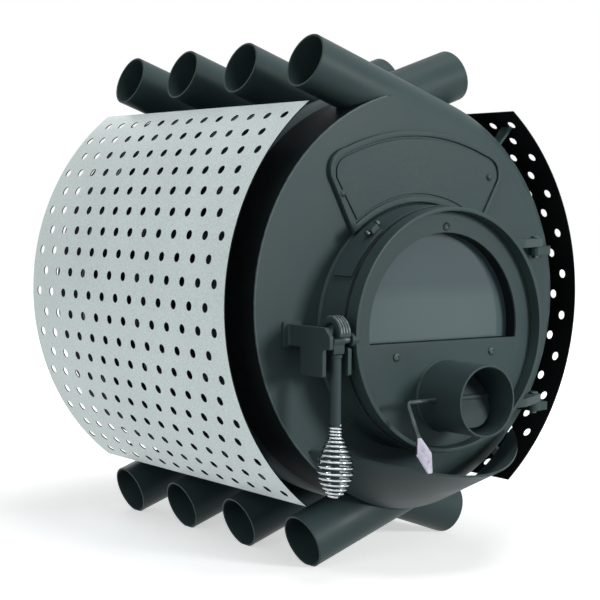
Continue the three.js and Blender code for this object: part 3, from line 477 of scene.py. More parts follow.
def plate(name, outline, holes, start, end, plane="XZ", edge=0.6):
    """A plate with softened edges: an outline with holes, from start to end along the plane's normal."""
    curve = bpy.data.curves.new(name, "CURVE")
    curve.dimensions = "2D"
    curve.fill_mode = "BOTH"
    curve.extrude = (end - start) / 2 - edge
    curve.bevel_depth = edge
    curve.bevel_resolution = 1
    curve.offset = -edge
    for loop in [outline, *holes]:
        spline = curve.splines.new("POLY")
        spline.points.add(len(loop) - 1)
        for point, (u, v) in zip(spline.points, loop):
            point.co = (u, v, 0, 1)
        spline.use_cyclic_u = True
    holder = bpy.data.objects.new(name, curve)
    bpy.context.scene.collection.objects.link(holder)
    bpy.context.view_layer.update()
    mesh = bpy.data.meshes.new_from_object(holder.evaluated_get(bpy.context.evaluated_depsgraph_get()))
    bpy.data.objects.remove(holder)
    bpy.data.curves.remove(curve)
    middle = (start + end) / 2
    turn = PLANES[plane]
    for vertex in mesh.vertices:
        u, v, w = vertex.co
        w += -middle if plane == "XZ" else middle
        vertex.co = at(*(turn @ Vector((u, v, w))))
    mesh.name = name
    return add_object(name, mesh)


def rod_along(name, points, radius, sides):
    """A round rod whose middle runs through the points."""
    places = [Vector(p) for p in points]
    turns = [2 * math.pi * k / sides for k in range(sides)]
    rings = []
    side = None
    for i, place in enumerate(places):
        along = (places[min(i + 1, len(places) - 1)] - places[max(i - 1, 0)]).normalized()
        if side is None:
            side = along.orthogonal().normalized()
        side = (side - along * side.dot(along)).normalized()
        other = along.cross(side)
        thick = radius(i) if callable(radius) else radius
        rings.append([place + (side * math.cos(a) + other * math.sin(a)) * thick for a in turns])
    return add_rings(name, rings)


def settled(piece):
    """Turns a piece's modifiers into its mesh."""
    bpy.context.view_layer.update()
    mesh = bpy.data.meshes.new_from_object(piece.evaluated_get(bpy.context.evaluated_depsgraph_get()))
    piece.modifiers.clear()
    piece.data = mesh
    return piece


def carve(piece, cutters):
    """Cuts the cutters away and keeps the largest piece that is left."""
    for cutter in cutters:
        modifier = piece.modifiers.new("carve", "BOOLEAN")
        modifier.operation = "DIFFERENCE"
        modifier.solver = "EXACT"
        modifier.object = cutter
    mesh = settled(piece).data
    for cutter in cutters:
        bpy.data.objects.remove(cutter)
    work = bmesh.new()
    work.from_mesh(mesh)
    bmesh.ops.remove_doubles(work, verts=work.verts, dist=1e-6)
    left = set(work.verts)
    islands = []
    while left:
        stack = [left.pop()]
        island = set(stack)
        while stack:
            for edge in stack.pop().link_edges:
                for vertex in edge.verts:
                    if vertex in left:
                        left.remove(vertex)
                        island.add(vertex)
                        stack.append(vertex)
        islands.append(island)

    def size(island):
        places = [v.co for v in island]
        return math.prod(max(p[k] for p in places) - min(p[k] for p in places) + 1e-4 for k in range(3))

    keep = max(islands, key=size)
    bmesh.ops.delete(work, geom=[v for v in work.verts if v not in keep], context="VERTS")
    work.to_mesh(mesh)
    work.free()
    return piece


def tilt(piece, centre, angle, axis="X"):
    """Turns a piece about an axis through a place."""
    middle = at(*centre)
    turn = Matrix.Rotation(angle, 4, axis)
    piece.data.transform(Matrix.Translation(middle) @ turn @ Matrix.Translation(-middle))
    return piece


def block(name, x0, x1, y0, y1, z0, z1, edge=1.0):
    """A block with softened edges."""
    outline = soften([(x0, z0), (x1, z0), (x1, z1), (x0, z1)], edge)
    return plate(name, outline, [], y0, y1, "XZ", min(edge, (y1 - y0) * 0.3) * 0.6)


# ---------------------------------------- air tubes

MOUTH_STEPS = (1.5, 4, 8, 14, 30, 70, 140)  # how far from a tube's mouth its rings lie


def bend_path(side, y, leg, bend_steps=56, ends=MOUTH_STEPS):
    """Places and outward directions along a tube's legs and bend. side is 1 where it bends on the right."""
    samples = []
    for i in range(bend_steps + 1):
        a = -HALF_BEND + 2 * HALF_BEND * i / bend_steps
        out = Vector((math.cos(a), 0, math.sin(a)))
        samples.append((out * BEND_RADIUS + Vector((-BEND_SHIFT, 0, 0)), out))
    for sign in (1, -1):
        tip, out = samples[-1 if sign > 0 else 0]
        along = Vector((-math.cos(SLOPE), 0, sign * math.sin(SLOPE)))
        marks = [leg] + [leg - e for e in ends if e < leg]
        stretch = [(tip + along * m, out) for m in sorted(marks)]
        samples = samples + stretch if sign > 0 else stretch[::-1] + samples
    return [(Vector((side * p.x, y, p.z)), Vector((side * o.x, 0, o.z))) for p, o in samples]


def ring_points(place, out, radius, sides):
    across = Vector((0, 1, 0))
    turns = [2 * math.pi * k / sides for k in range(sides)]
    return [tuple(place + (out * math.cos(a) + across * math.sin(a)) * radius) for a in turns]


def tube_solid(side, y, radius, sides=48):
    """A solid rod along a tube's middle, for cutting its neighbours to shape."""
    samples = bend_path(side, y, TUBE_LEG, 40, (80,))
    return add_rings("cutter", [ring_points(place, out, radius, sides) for place, out in samples])


def air_tube(name, side, y):
    """A bent tube with its bore, rounded mouths and the flat that it stands on."""
    sides = 64
    bore = TUBE_RADIUS - TUBE_WALL
    samples = bend_path(side, y, TUBE_LEG)
    rings = [(place, out, TUBE_RADIUS) for place, out in samples]
    rim = [(-0.15, TUBE_RADIUS - 0.25), (0, TUBE_RADIUS - 0.8), (0, bore + 0.8), (-0.15, bore + 0.25)]

    def mouth(end, neighbour):
        place, out = end
        away = (place - neighbour[0]).normalized()
        return [(place + away * step, out, radius) for step, radius in rim]

    for end, inner in ((-1, -2), (0, 1)):
        place, out = samples[end]
        rings[end] = (place + (samples[inner][0] - place).normalized() * 0.7, out, TUBE_RADIUS)
    rings += mouth(samples[-1], samples[-2])
    rings += [(place, out, bore) for place, out, _ in reversed(rings[: len(samples)])]
    rings += mouth(samples[0], samples[1])[::-1]
    loops = []
    for place, out, radius in rings:
        points = ring_points(place, out, radius, sides)
        loops.append([(x, v, max(z, FLOOR)) for x, v, z in points])  # cut off flat at the floor
    skin = add_rings(name + "_skin", loops, closed=True)
    dress(skin, "body", "grey_paint", grey_paint, nodes=[name], sharp=50)


for i in range(4):
    air_tube(f"air_tube_left_{i + 1}", 1, 2 * i * PITCH)
for i in range(3):
    air_tube(f"air_tube_right_{i + 1}", -1, (2 * i + 1) * PITCH)

# ---------------------------------------- firebox walls and plates

WALL = 3
SIDE_WALL_LEG = 62  # how far a side wall runs along the legs beside it
PLATE_EDGE = 2.4  # rounding of the two end plates' edges
front = Span("front_plate")
rear = Span("rear_plate")
PLATE_ARC = 290
PLATE_SHIFT = front.x0 + PLATE_ARC
LEG_RISE = math.tan(SLOPE)
BEND_END = BEND_RADIUS * math.sin(SLOPE) - BEND_SHIFT
CROSSING = BEND_RADIUS * math.cos(SLOPE) + BEND_END * LEG_RISE
# the end plates' tip, where their left arc meets the middle line of a tube's leg
reach = PLATE_SHIFT + CROSSING * LEG_RISE
tip_x = (
    reach - math.sqrt(reach**2 - (1 + LEG_RISE**2) * (PLATE_SHIFT**2 + CROSSING**2 - PLATE_ARC**2))
) / (1 + LEG_RISE**2)
tip_z = CROSSING - tip_x * LEG_RISE
TIP_ANGLE = math.degrees(math.atan2(tip_z, tip_x - PLATE_SHIFT))


def plate_outline():
    """An end plate: a round left side, and on the right the bend of the tubes."""
    left = arc(PLATE_SHIFT, 0, PLATE_ARC, TIP_ANGLE, 360 - TIP_ANGLE, 90)
    bend = math.degrees(HALF_BEND)
    return left + arc(-BEND_SHIFT, 0, BEND_RADIUS, -bend, bend, 72)


plates = [
    ("front_plate", front, circle(0, DOOR_Z, COLLAR_BORE, 96)),
    ("rear_plate", rear, circle(0, spigot.z, FLUE - FLUE_WALL, 64)),
]
for name, span, hole in plates:
    rounding = min(PLATE_EDGE, (span.y1 - span.y0) * 0.4)
    skin = plate(name + "_skin", plate_outline(), [hole], span.y0, span.y1, edge=rounding)
    dress(skin, "body", "grey_paint", grey_paint, nodes=[name])

SEAM = 1.5  # radius of the seam round the front plate's left edge
seam_arc = arc(PLATE_SHIFT, 0, PLATE_ARC - 0.4, TIP_ANGLE + 2, 358 - TIP_ANGLE, 120)
seam = [(x, front.y0 + SEAM, z) for x, z in seam_arc]
# the seam takes the lighter paint: a painted highlight where light catches the plate's left edge
edge_seam = rod_along("front_plate_seam", seam, lambda i: SEAM + 0.15 * (i % 3), 8)
dress(edge_seam, "body", "grey_paint", seam_highlight_paint, weighted=False)


def side_wall(name, side, y):
    """Closes the gap that the tube at y leaves on this side, and is cut where that tube's legs cross it."""
    width = Span(name).y1 - Span(name).y0
    corners = [
        (WALL * depth, Vector((0, width * across, 0)))
        for depth, across in ((-0.5, -0.5), (-0.5, 0.5), (0.5, 0.5), (0.5, -0.5))
    ]
    samples = bend_path(side, y, SIDE_WALL_LEG, 56, (30,))
    rings = [[place + out * depth + across for depth, across in corners] for place, out in samples]
    wall = carve(add_rings(name + "_skin", rings), [tube_solid(-side, y, TUBE_RADIUS + GAP)])
    # the near-black wall paint here is painted shade
    dress(wall, "body", "wall_paint", wall_paint, nodes=[name])


for i in range(3):
    side_wall(f"side_wall_right_{i + 1}", 1, (2 * i + 1) * PITCH)
for i in range(2):
    side_wall(f"side_wall_left_{i + 1}", -1, 2 * (i + 1) * PITCH)


def end_wall(name, tube_y, crossing_y):
    """The curved wall from an end plate to the tube at tube_y, cut through by the tube at crossing_y."""
    edge = front.y1 if tube_y < LAST_PLANE / 2 else rear.y0
    low, high = sorted((edge, tube_y))
    outer = arc(PLATE_SHIFT, 0, PLATE_ARC, TIP_ANGLE, 360 - TIP_ANGLE, 90)
    inner = arc(PLATE_SHIFT, 0, PLATE_ARC - WALL, 360 - TIP_ANGLE, TIP_ANGLE, 90)
    wall = plate(name + "_skin", outer + inner, [], low + GAP, high - GAP, edge=0.05)
    cutters = [tube_solid(-1, tube_y, TUBE_RADIUS + GAP), tube_solid(1, crossing_y, TUBE_RADIUS + GAP)]
    # the near-black wall paint here is painted shade
    dress(carve(wall, cutters), "body", "wall_paint", wall_paint, nodes=[name])


end_wall("end_wall_front", PITCH, 0)
end_wall("end_wall_rear", LAST_PLANE - PITCH, LAST_PLANE)

# ---------------------------------------- door collar, its strip and the name plate

collar_profile = [
    (COLLAR_BORE, collar.y1),
    (COLLAR_RADIUS + COLLAR_FOOT, collar.y1),
    (COLLAR_RADIUS + COLLAR_FOOT - 0.4, collar.y1 - 1.6),
    (COLLAR_RADIUS + 1.1, collar.y1 - 3.2),
    (COLLAR_RADIUS, collar.y1 - 5),
    (COLLAR_RADIUS, collar.y0 + 1),
    (COLLAR_RADIUS - 0.3, collar.y0 + 0.3),
    (COLLAR_RADIUS - 1, collar.y0),
    (COLLAR_BORE + 1, collar.y0),
    (COLLAR_BORE + 0.3, collar.y0 + 0.3),
    (COLLAR_BORE, collar.y0 + 1),
]
collar_skin = turned("door_collar_skin", collar_profile, (0, 0, DOOR_Z), segments=128)
dress(collar_skin, "body", "grey_paint", grey_paint, nodes=["door_collar"])

strip = Span("collar_strip")
STRIP_FROM = 127
STRIP_TO = 154
STRIP_SHEET = 3
STRIP_SLOTS = (134, 144)
strip_outline = arc(0, DOOR_Z, COLLAR_RADIUS + GAP + STRIP_SHEET, STRIP_FROM, STRIP_TO, 16)
strip_outline += arc(0, DOOR_Z, COLLAR_RADIUS + GAP, STRIP_TO, STRIP_FROM, 16)
strip_plate = plate("collar_strip_skin", strip_outline, [], strip.y0, strip.y1, edge=0.5)
slots = []
for angle in STRIP_SLOTS:
    a = math.radians(angle)
    x, z = COLLAR_RADIUS * math.cos(a), DOOR_Z + COLLAR_RADIUS * math.sin(a)
    slot = block("cutter", x - 5, x + 5, strip.y - 3.5, strip.y + 3.5, z - 3, z + 3, 1.2)
    slots.append(tilt(slot, (x, 0, z), math.pi / 2 - a, "Y"))
dress(carve(strip_plate, slots), "body", "grey_paint", grey_paint, nodes=["collar_strip"])

name_plate = Span("name_plate")
PLATE_TOP = COLLAR_RADIUS + 103
TOP_RADIUS = 320
HALF_WIDTH = 156
shoulder_x = HALF_WIDTH - 32
top_centre = PLATE_TOP - TOP_RADIUS


def name_plate_outline(inset):
    """The blank name plate's outline about the door axis, drawn in by inset."""
    top = TOP_RADIUS - inset
    half = math.degrees(math.asin((shoulder_x - inset * 0.3) / top))
    corner = quadratic(
        (HALF_WIDTH - 2 - inset, PLATE_TOP - 64 - inset * 0.3),
        (HALF_WIDTH + 3 - inset, PLATE_TOP - 34 - inset * 0.8),
        (top * math.sin(math.radians(half)), top_centre + top * math.cos(math.radians(half))),
    )
    crown = arc(0, top_centre, top, 90 - half, 90 + half, 24)[1:-1]
    foot_radius = COLLAR_RADIUS + COLLAR_FOOT + 0.8 + inset
    foot_angle = 48.5 + inset * 0.45
    foot = soften(arc(0, 0, foot_radius, 180 - foot_angle, foot_angle, 32), 4, False)
    loop = corner + crown + [(-x, z) for x, z in reversed(corner)] + foot
    return [(x, z + DOOR_Z) for x, z in loop]


y = name_plate.y0
badge = plate("name_plate_skin", name_plate_outline(0.8), [], y + 2.6, name_plate.y1, edge=0.8)
dress(badge, "body", "grey_paint", cast_paint, nodes=["name_plate"])
badge_rim = plate("name_plate_rim", name_plate_outline(0), [name_plate_outline(8.5)], y - 1, y + 4, edge=1.7)
dress(badge_rim, "body", "grey_paint", cast_paint)
field = plate("name_plate_field", name_plate_outline(11.5), [], y + 0.4, y + 4, edge=1.4)
dress(field, "body", "grey_paint", cast_paint)
RIVETS = (("left", -134, 148), ("right", 129, 173))
for name, x, z in RIVETS:
    dome = [(0, y + 1), (5.2, y + 1), (5.2, y - 0.6), (4.3, y - 2), (2.4, y - 2.9), (0, y - 3.2)]
    rivet = turned("name_plate_rivet_" + name, dome, (x, 0, z), segments=24)
    dress(rivet, "body", "grey_paint", grey_paint, weighted=False)

clamp_angle = math.radians(129)
clamp_radius = COLLAR_RADIUS + 7
x, z = clamp_radius * math.cos(clamp_angle), DOOR_Z + clamp_radius * math.sin(clamp_angle)
clamp = block("strip_clamp", x - 7, x + 7, strip.y0 + 5, strip.y0 + 19, z - 4.5, z + 4.5, 2)
dress(tilt(clamp, (x, 0, z), math.pi / 2 - clamp_angle, "Y"), "body", "grey_paint", grey_paint)
clamp_bolt = [(0, -13), (3.4, -13), (4.4, -12), (4.4, -9), (2.4, -8.6)]
clamp_bolt += [(2.4, 9), (4.4, 9), (4.4, 12), (0, 12)]
bolt = turned("strip_clamp_bolt", clamp_bolt, (x, strip.y0 + 12, z + 1), "X", 12)
dress(tilt(bolt, (x, 0, z + 1), math.pi / 2 - clamp_angle, "Y"), "body", "bolt_steel", bolt_steel)

# ---------------------------------------- ash lip

lip = Span("ash_lip")
LIP_HALF = 184
LIP_REACH = lip.y1 - lip.y0
LIP_DEPTH = 96
LIP_SAG = 32
LIP_END = DOOR_Z - 159
LIP_SHEET = 3
LIP_WIDEST = math.radians(80)


def lip_point(angle, share):
    """A place on the lip's underside: share 0 on the plate, 1 at the rim."""
    radius = (LIP_HALF**2 + LIP_DEPTH**2) / (2 * LIP_DEPTH)
    x = LIP_HALF * math.sin(angle)
    low = Vector((x, lip.y1, LIP_END - LIP_DEPTH + radius - math.sqrt(radius**2 - x**2)))
    rim = Vector((x, lip.y1 - LIP_REACH * math.cos(angle) ** 2, LIP_END - LIP_SAG * math.cos(angle) ** 3))
    return low.lerp(rim, share)


def ash_lip():
    columns, rows = 72, 10
    rings = []
    for i in range(columns + 1):
        angle = -LIP_WIDEST + 2 * LIP_WIDEST * i / columns
        under = [lip_point(angle, k / rows) for k in range(rows + 1)]
        rings.append(under + [p + Vector((0, 0, LIP_SHEET)) for p in reversed(under)])
    return add_rings("ash_lip_skin", rings)


dress(ash_lip(), "body", "grey_paint", grey_paint, nodes=["ash_lip"])

# ---------------------------------------- door

door = Span("door_ring")
DOOR_RADIUS = door.x1
RIM = 6
LEDGE = 10.5
face = Span("door_face")
glass = Span("window_glass")
pipe = Span("intake_pipe")
WINDOW_RADIUS = 131
SILL = 16


def window_outline(radius, sill, steps=72):
    """A round window cut off straight at the sill, which lies below the door's axis."""
    dip = math.degrees(math.asin(sill / radius))
    return arc(0, DOOR_Z, radius, -dip, 180 + dip, steps)


gasket = Span("door_gasket")
bore = gasket.x1 - 13
gasket_corners = [(bore, gasket.y0), (gasket.x1, gasket.y0), (gasket.x1, gasket.y1), (bore, gasket.y1)]
gasket_skin = turned("door_gasket_skin", soften(gasket_corners, 1.6), (0, 0, DOOR_Z))
dress(gasket_skin, "door", "gasket_rope", gasket_rope, nodes=["door_gasket"], weighted=False)

ledge_bore = DOOR_RADIUS - RIM - LEDGE
FACE_SHEET = 3.5
face_back = face.y0 + FACE_SHEET
ledge_front = face_back + GAP
ring_profile = [
    (ledge_bore, door.y1),
    (DOOR_RADIUS - 0.8, door.y1),
    (DOOR_RADIUS, door.y1 - 0.8),
    (DOOR_RADIUS, door.y0 + 1.4),
    (DOOR_RADIUS - 0.4, door.y0 + 0.4),
    (DOOR_RADIUS - 1.6, door.y0),
    (DOOR_RADIUS - RIM + 1.4, door.y0),
    (DOOR_RADIUS - RIM + 0.3, door.y0 + 0.4),
    (DOOR_RADIUS - RIM, door.y0 + 1.3),
    (DOOR_RADIUS - RIM, ledge_front),
    (ledge_bore, ledge_front),
]
ring_skin = turned("door_ring_skin", ring_profile, (0, 0, DOOR_Z), segments=144)
dress(ring_skin, "door", "grey_paint", grey_paint, nodes=["door_ring"])

screws = {name: Span("face_screw_" + name) for name in ("top", "left", "right")}
face_holes = [circle(0, pipe.z, pipe.x1 + GAP, 64)]
face_holes += [circle(screw.x, screw.z, 2.8, 16) for screw in screws.values()]
window_hole = window_outline(WINDOW_RADIUS, SILL)
pane = window_outline(glass.x1, SILL + glass.x1 - WINDOW_RADIUS)
face_outline = circle(0, DOOR_Z, face.x1, 128)
face_skin = plate("door_face_skin", face_outline, [window_hole, *face_holes], face.y0, face_back, edge=0.7)
dress(face_skin, "door", "grey_paint", grey_paint, nodes=["door_face"])
# the opening's wall takes the near-black wall paint: painted shade
window_wall = plate("window_wall", pane, [window_hole], face_back - 0.8, face.y1, edge=0.2)
dress(window_wall, "door", "grey_paint", wall_paint)
glass_skin = plate("window_glass_skin", pane, [], glass.y0, glass.y1, edge=0.3)
dress(glass_skin, "door", "window_glass", window_glass, nodes=["window_glass"])
for name, screw in screws.items():
    head = face.y0 - GAP
    profile = [
        (0, screw.y1),
        (2.2, screw.y1),
        (2.5, screw.y1 - 0.4),
        (2.5, head),
        (5.9, head),
        (5.7, head - 1),
        (4.6, head - 2.3),
        (2.6, head - 3.05),
        (2.1, head - 2.8),
        (1.6, head - 1.5),
        (0, head - 1.2),
    ]
    screw_skin = turned(f"face_screw_{name}_skin", profile, (screw.x, 0, screw.z), segments=24)
    dress(screw_skin, "door", "bolt_steel", bolt_steel, nodes=["face_screw_" + name], weighted=False)
latch_pin = Span("latch_pin")
LATCH_Y = latch_pin.y
LATCH_Z = latch_pin.z
boss = [(0, -162), (10.5, -162), (9, -168), (9, -170.8), (8.2, -171.5), (0, -171.5)]
dress(turned("latch_boss", boss, (0, LATCH_Y, LATCH_Z), "X", 40), "door", "grey_paint", grey_paint)

# ---------------------------------------- air intake

PIPE_WALL = 3
PIPE = pipe.x1
pipe_profile = [
    (PIPE - PIPE_WALL, pipe.y1),
    (PIPE, pipe.y1),
    (PIPE, pipe.y0 + 0.8),
    (PIPE - 0.3, pipe.y0 + 0.2),
    (PIPE - 0.9, pipe.y0),
    (PIPE - PIPE_WALL + 0.9, pipe.y0),
    (PIPE - PIPE_WALL + 0.3, pipe.y0 + 0.2),
    (PIPE - PIPE_WALL, pipe.y0 + 0.8),
]
pipe_skin = turned("intake_pipe_skin", pipe_profile, (0, 0, pipe.z), segments=96)
dress(pipe_skin, "door", "grey_paint", grey_paint, nodes=["intake_pipe"])
bead = [(PIPE + out, face.y0 + back) for out, back in ((-1, 0.5), (2.4, 0.5), (2, -1), (-0.5, -2.6))]
pipe_bead = turned("intake_pipe_bead", bead, (0, 0, pipe.z))
dress(pipe_bead, "door", "grey_paint", cast_paint, sharp=80, weighted=False)

rod = Span("air_damper_rod")
damper_disc = Span("air_damper_disc")
ROD = 3
rod_y = damper_disc.y
LEVER_X = rod.x0 + ROD
LEVER = 50
LEVER_BEND = 8  # how far before and after the corner it is bent
LEAN = math.radians(29)
lever_way = Vector((0, -math.sin(LEAN), -math.cos(LEAN)))
corner = Vector((LEVER_X, rod_y, pipe.z))
bend = quadratic(corner + Vector((LEVER_BEND, 0, 0)), corner, corner + lever_way * LEVER_BEND, 6)
lever_points = [(rod.x1, rod_y, pipe.z), (rod.x1 - 40, rod_y, pipe.z), *bend, corner + lever_way * LEVER]
rod_skin = rod_along("air_damper_rod_skin", lever_points, ROD, 20)
dress(rod_skin, "air_damper", "bolt_steel", bolt_steel, nodes=["air_damper_rod"], weighted=False)

axle = (0, rod_y, pipe.z)
disc_edge = damper_disc.x1
disc_profile = mirrored([(0, -1), (disc_edge - 0.5, -1), (disc_edge, -0.5)])
disc = tilt(turned("air_damper_disc_skin", disc_profile, axle), axle, -LEAN)
dress(disc, "air_damper", "fire_steel", damper_paint, nodes=["air_damper_disc"])
SLEEVE = 4.1
SLEEVE_END = 43
sleeve_profile = mirrored([(0, -SLEEVE_END), (SLEEVE - 0.5, -SLEEVE_END), (SLEEVE, 0.5 - SLEEVE_END)])
sleeve = turned("air_damper_sleeve", sleeve_profile, axle, "X", 32)
dress(sleeve, "air_damper", "fire_steel", damper_paint)

# ---------------------------------------- latch and its coil grip

hook = Span("latch_hook")
handle = Span("handle_rod")
coil = Span("grip_coil")
HOOK_X = hook.x


def coil_grip():
    """One unbroken coil of wire, narrow at its neck and bulging below."""
    wire = 1.6
    narrow, wide = 8, 23.2  # radius of its turns
    close, apart = 4.1, 7.9  # from turn to turn
    length = coil.z1 - coil.z0 - 2 * wire
    steps = 28
    points = []
    depth = turns = 0.0
    while depth <= length:
        share = depth / length
        along = max(share - 0.13, 0) / 0.87
        bulge = math.sin(math.pi * along**1.166)
        radius = narrow + (wide - narrow) * bulge
        a = 2 * math.pi * turns
        points.append((HOOK_X + radius * math.cos(a), LATCH_Y + radius * math.sin(a), coil.z1 - wire - depth))
        depth += (close + (apart - close) * bulge) / steps
        turns += 1 / steps
    return rod_along("grip_coil_skin", points, wire, 10)


dress(coil_grip(), "handle", "coil_chrome", coil_chrome, nodes=["grip_coil"], weighted=False)

HANDLE = 7
CORE = 5.9  # the rod's radius inside the coil
rod_end = coil.z1 + GAP
handle_profile = [
    (0, handle.z1),
    (HANDLE + 0.4, handle.z1),
    (HANDLE + 1.2, handle.z1 - 0.8),
    (HANDLE + 1.2, handle.z1 - 3.4),
    (HANDLE + 0.2, handle.z1 - 4.4),
    (HANDLE, handle.z1 - 5),
    (HANDLE, rod_end + 1),
    (HANDLE - 0.6, rod_end),
    (CORE, rod_end),
    (CORE, handle.z0 + 1.5),
    (CORE - 1.5, handle.z0),
    (0, handle.z0),
]
handle_skin = turned("handle_rod_skin", handle_profile, (HOOK_X, LATCH_Y, 0), "Z", 48)
dress(handle_skin, "handle", "grey_paint", grey_paint, nodes=["handle_rod"])

CLAW_RADIUS = 22
CLAW_BORE = 14
CLAW_RIB = 1.3
claw_y, claw_z = LATCH_Y + 2, LATCH_Z + 9


def by_pin(*points):
    return [(y + LATCH_Y, z + LATCH_Z) for y, z in points]


claw_nose = by_pin((-20, 6.5), (-18.5, 5.2), (-13.5, 5.2), (-12, 6.5))
claw_back = by_pin((17, 15), (18, 12), (18, 8), (12, 2))
barrel = arc(LATCH_Y, LATCH_Z, 8.5, 20, 215, 24)
neck = soften(by_pin((-7, -9), (-7, -18), (7, -18), (18, -8.5), (26, 0), (26, 19)), 3, False)
claw_inside = arc(claw_y, claw_z, CLAW_BORE, 178, 50, 24)
claw_outside = arc(claw_y, claw_z, CLAW_RADIUS, 30, 178, 36)
hook_outline = claw_nose + claw_inside + claw_back + barrel + neck + claw_outside
pin_hole = circle(LATCH_Y, LATCH_Z, 5.2, 32)
hook_skin = plate("latch_hook_skin", hook_outline, [pin_hole], hook.x0, hook.x1, "YZ", 1.2)
dress(hook_skin, "handle", "grey_paint", cast_paint, nodes=["latch_hook"])
# the ribs take the lighter steel: a painted highlight on their ridges
for i, offset in enumerate((-6.3, -2.1, 2.1, 6.3)):
    rib = [(HOOK_X + offset, y, z) for y, z in arc(claw_y, claw_z, CLAW_RADIUS + 0.1, 62, 176, 40)]
    rib_skin = rod_along(f"latch_hook_rib_{i}", rib, CLAW_RIB, 10)
    dress(rib_skin, "handle", "grey_paint", rib_highlight_steel, weighted=False)
eye = mirrored([(5.3, -9.6), (7.9, -9.6), (8.7, -8.8)])
eye_skin = turned("latch_hook_eye", eye, (HOOK_X, LATCH_Y, LATCH_Z), "X", 40)
dress(eye_skin, "handle", "grey_paint", grey_paint)

inner, outer = latch_pin.x1, latch_pin.x0
pin_profile = [(0, inner), (4.5, inner), (5, inner - 0.5), (5, outer + 3)]
pin_profile += [(6.6, outer + 3), (7, outer + 2.6), (7, outer + 0.8), (6, outer), (0, outer)]
pin_skin = turned("latch_pin_skin", pin_profile, (0, LATCH_Y, LATCH_Z), "X", 32)
dress(pin_skin, "door", "bolt_steel", bolt_steel, nodes=["latch_pin"])

catch = Span("latch_catch")
CATCH = 6  # its sheet
cheek_left = hook.x0 - 11
cheek_right = hook.x1 + 6
WEB = 37  # from the pin back to the web between the cheeks
CATCH_LOW = -46
web_back = WEB + CATCH
foot = catch.y1 - LATCH_Y
arm = by_pin((-21, -10), (-21, 7), (-10, 18), (foot, 18), (foot, -10))
tail = by_pin((web_back, -10), (web_back, CATCH_LOW), (-6, CATCH_LOW), (-6, -10))
cheek_skin = plate("latch_catch_skin", soften(arm + tail, 2.5), [], cheek_left - CATCH, cheek_left, "YZ", 0.9)
dress(cheek_skin, "body", "grey_paint", grey_paint, nodes=["latch_catch"])
tab = soften(by_pin((-6, CATCH_LOW), (web_back, CATCH_LOW), (web_back, -10), (-6, -10)), 3)
tab_skin = plate("latch_catch_tab", tab, [], cheek_right, cheek_right + CATCH, "YZ", 0.9)
dress(tab_skin, "body", "grey_paint", grey_paint)
(y0, z0), (y1, z1) = by_pin((WEB, CATCH_LOW), (web_back, -10))
web = block("latch_catch_web", cheek_left - 1, cheek_right + 1, y0, y1, z0, z1)
dress(web, "body", "grey_paint", grey_paint)
(y0, z0), (y1, z1) = by_pin((foot - 3, -13), (foot, 21))
catch_foot = block("latch_catch_foot", cheek_left - 15, cheek_left + 15, y0, y1, z0, z1, 2)
dress(catch_foot, "body", "grey_paint", grey_paint)
for x in (cheek_left - CATCH, cheek_left):
    seam = [(x, catch.y1 - 3.2, LATCH_Z - 10 + 28 * i / 12) for i in range(13)]
    bead_name = f"latch_catch_bead_{x:.0f}".replace("-", "")
    bead_skin = rod_along(bead_name, seam, lambda i: 2.2 + 0.4 * (i % 2), 8)
    dress(bead_skin, "body", "grey_paint", cast_paint, weighted=False)

# ---------------------------------------- hinges

HINGE_EYE = 11
STRAP_FOOT = 146  # where the strap's back meets the door ring
ring_inside = DOOR_RADIUS - 2  # nothing of a strap shows within it
for place in ("upper", "lower"):
    strap, pin = (Span(f"hinge_{kind}_{place}") for kind in ("strap", "pin"))
    strap_back = door.y1 - 2
    ring_x = math.sqrt(DOOR_RADIUS**2 - (abs(strap.z - DOOR_Z) + 6) ** 2)
    strap_outline = [(ring_x - 6, strap.y0), (ring_x + 20, strap.y0)]
    strap_outline += arc(pin.x, pin.y, HINGE_EYE, -50, 130, 20)
    strap_outline += [(STRAP_FOOT, strap_back), (ring_x - 6, strap_back)]
    strap_plate = plate(f"hinge_strap_{place}_skin", strap_outline, [], strap.z0, strap.z1, "XY", 1)
    inside = [(0, face.y0 - 60), (ring_inside, face.y0 - 60), (ring_inside, collar.y1), (0, collar.y1)]
    strap_skin = carve(strap_plate, [turned("cutter", inside, (0, 0, DOOR_Z), segments=144)])
    dress(strap_skin, "door", "grey_paint", grey_paint, nodes=[f"hinge_strap_{place}"])
    knob = [(0, pin.z0), (4.4, pin.z0), (5, pin.z0 + 0.6), (5, strap.z1)]
    knob += [(7, strap.z1 + 0.3), (7, pin.z1 - 1.2), (5.6, pin.z1), (0, pin.z1)]
    pin_turn = turned(f"hinge_pin_{place}_skin", knob, (pin.x, pin.y, 0), "Z", 28)
    dress(pin_turn, "body", "bolt_steel", bolt_steel, nodes=[f"hinge_pin_{place}"])

# ---------------------------------------- flue spigot

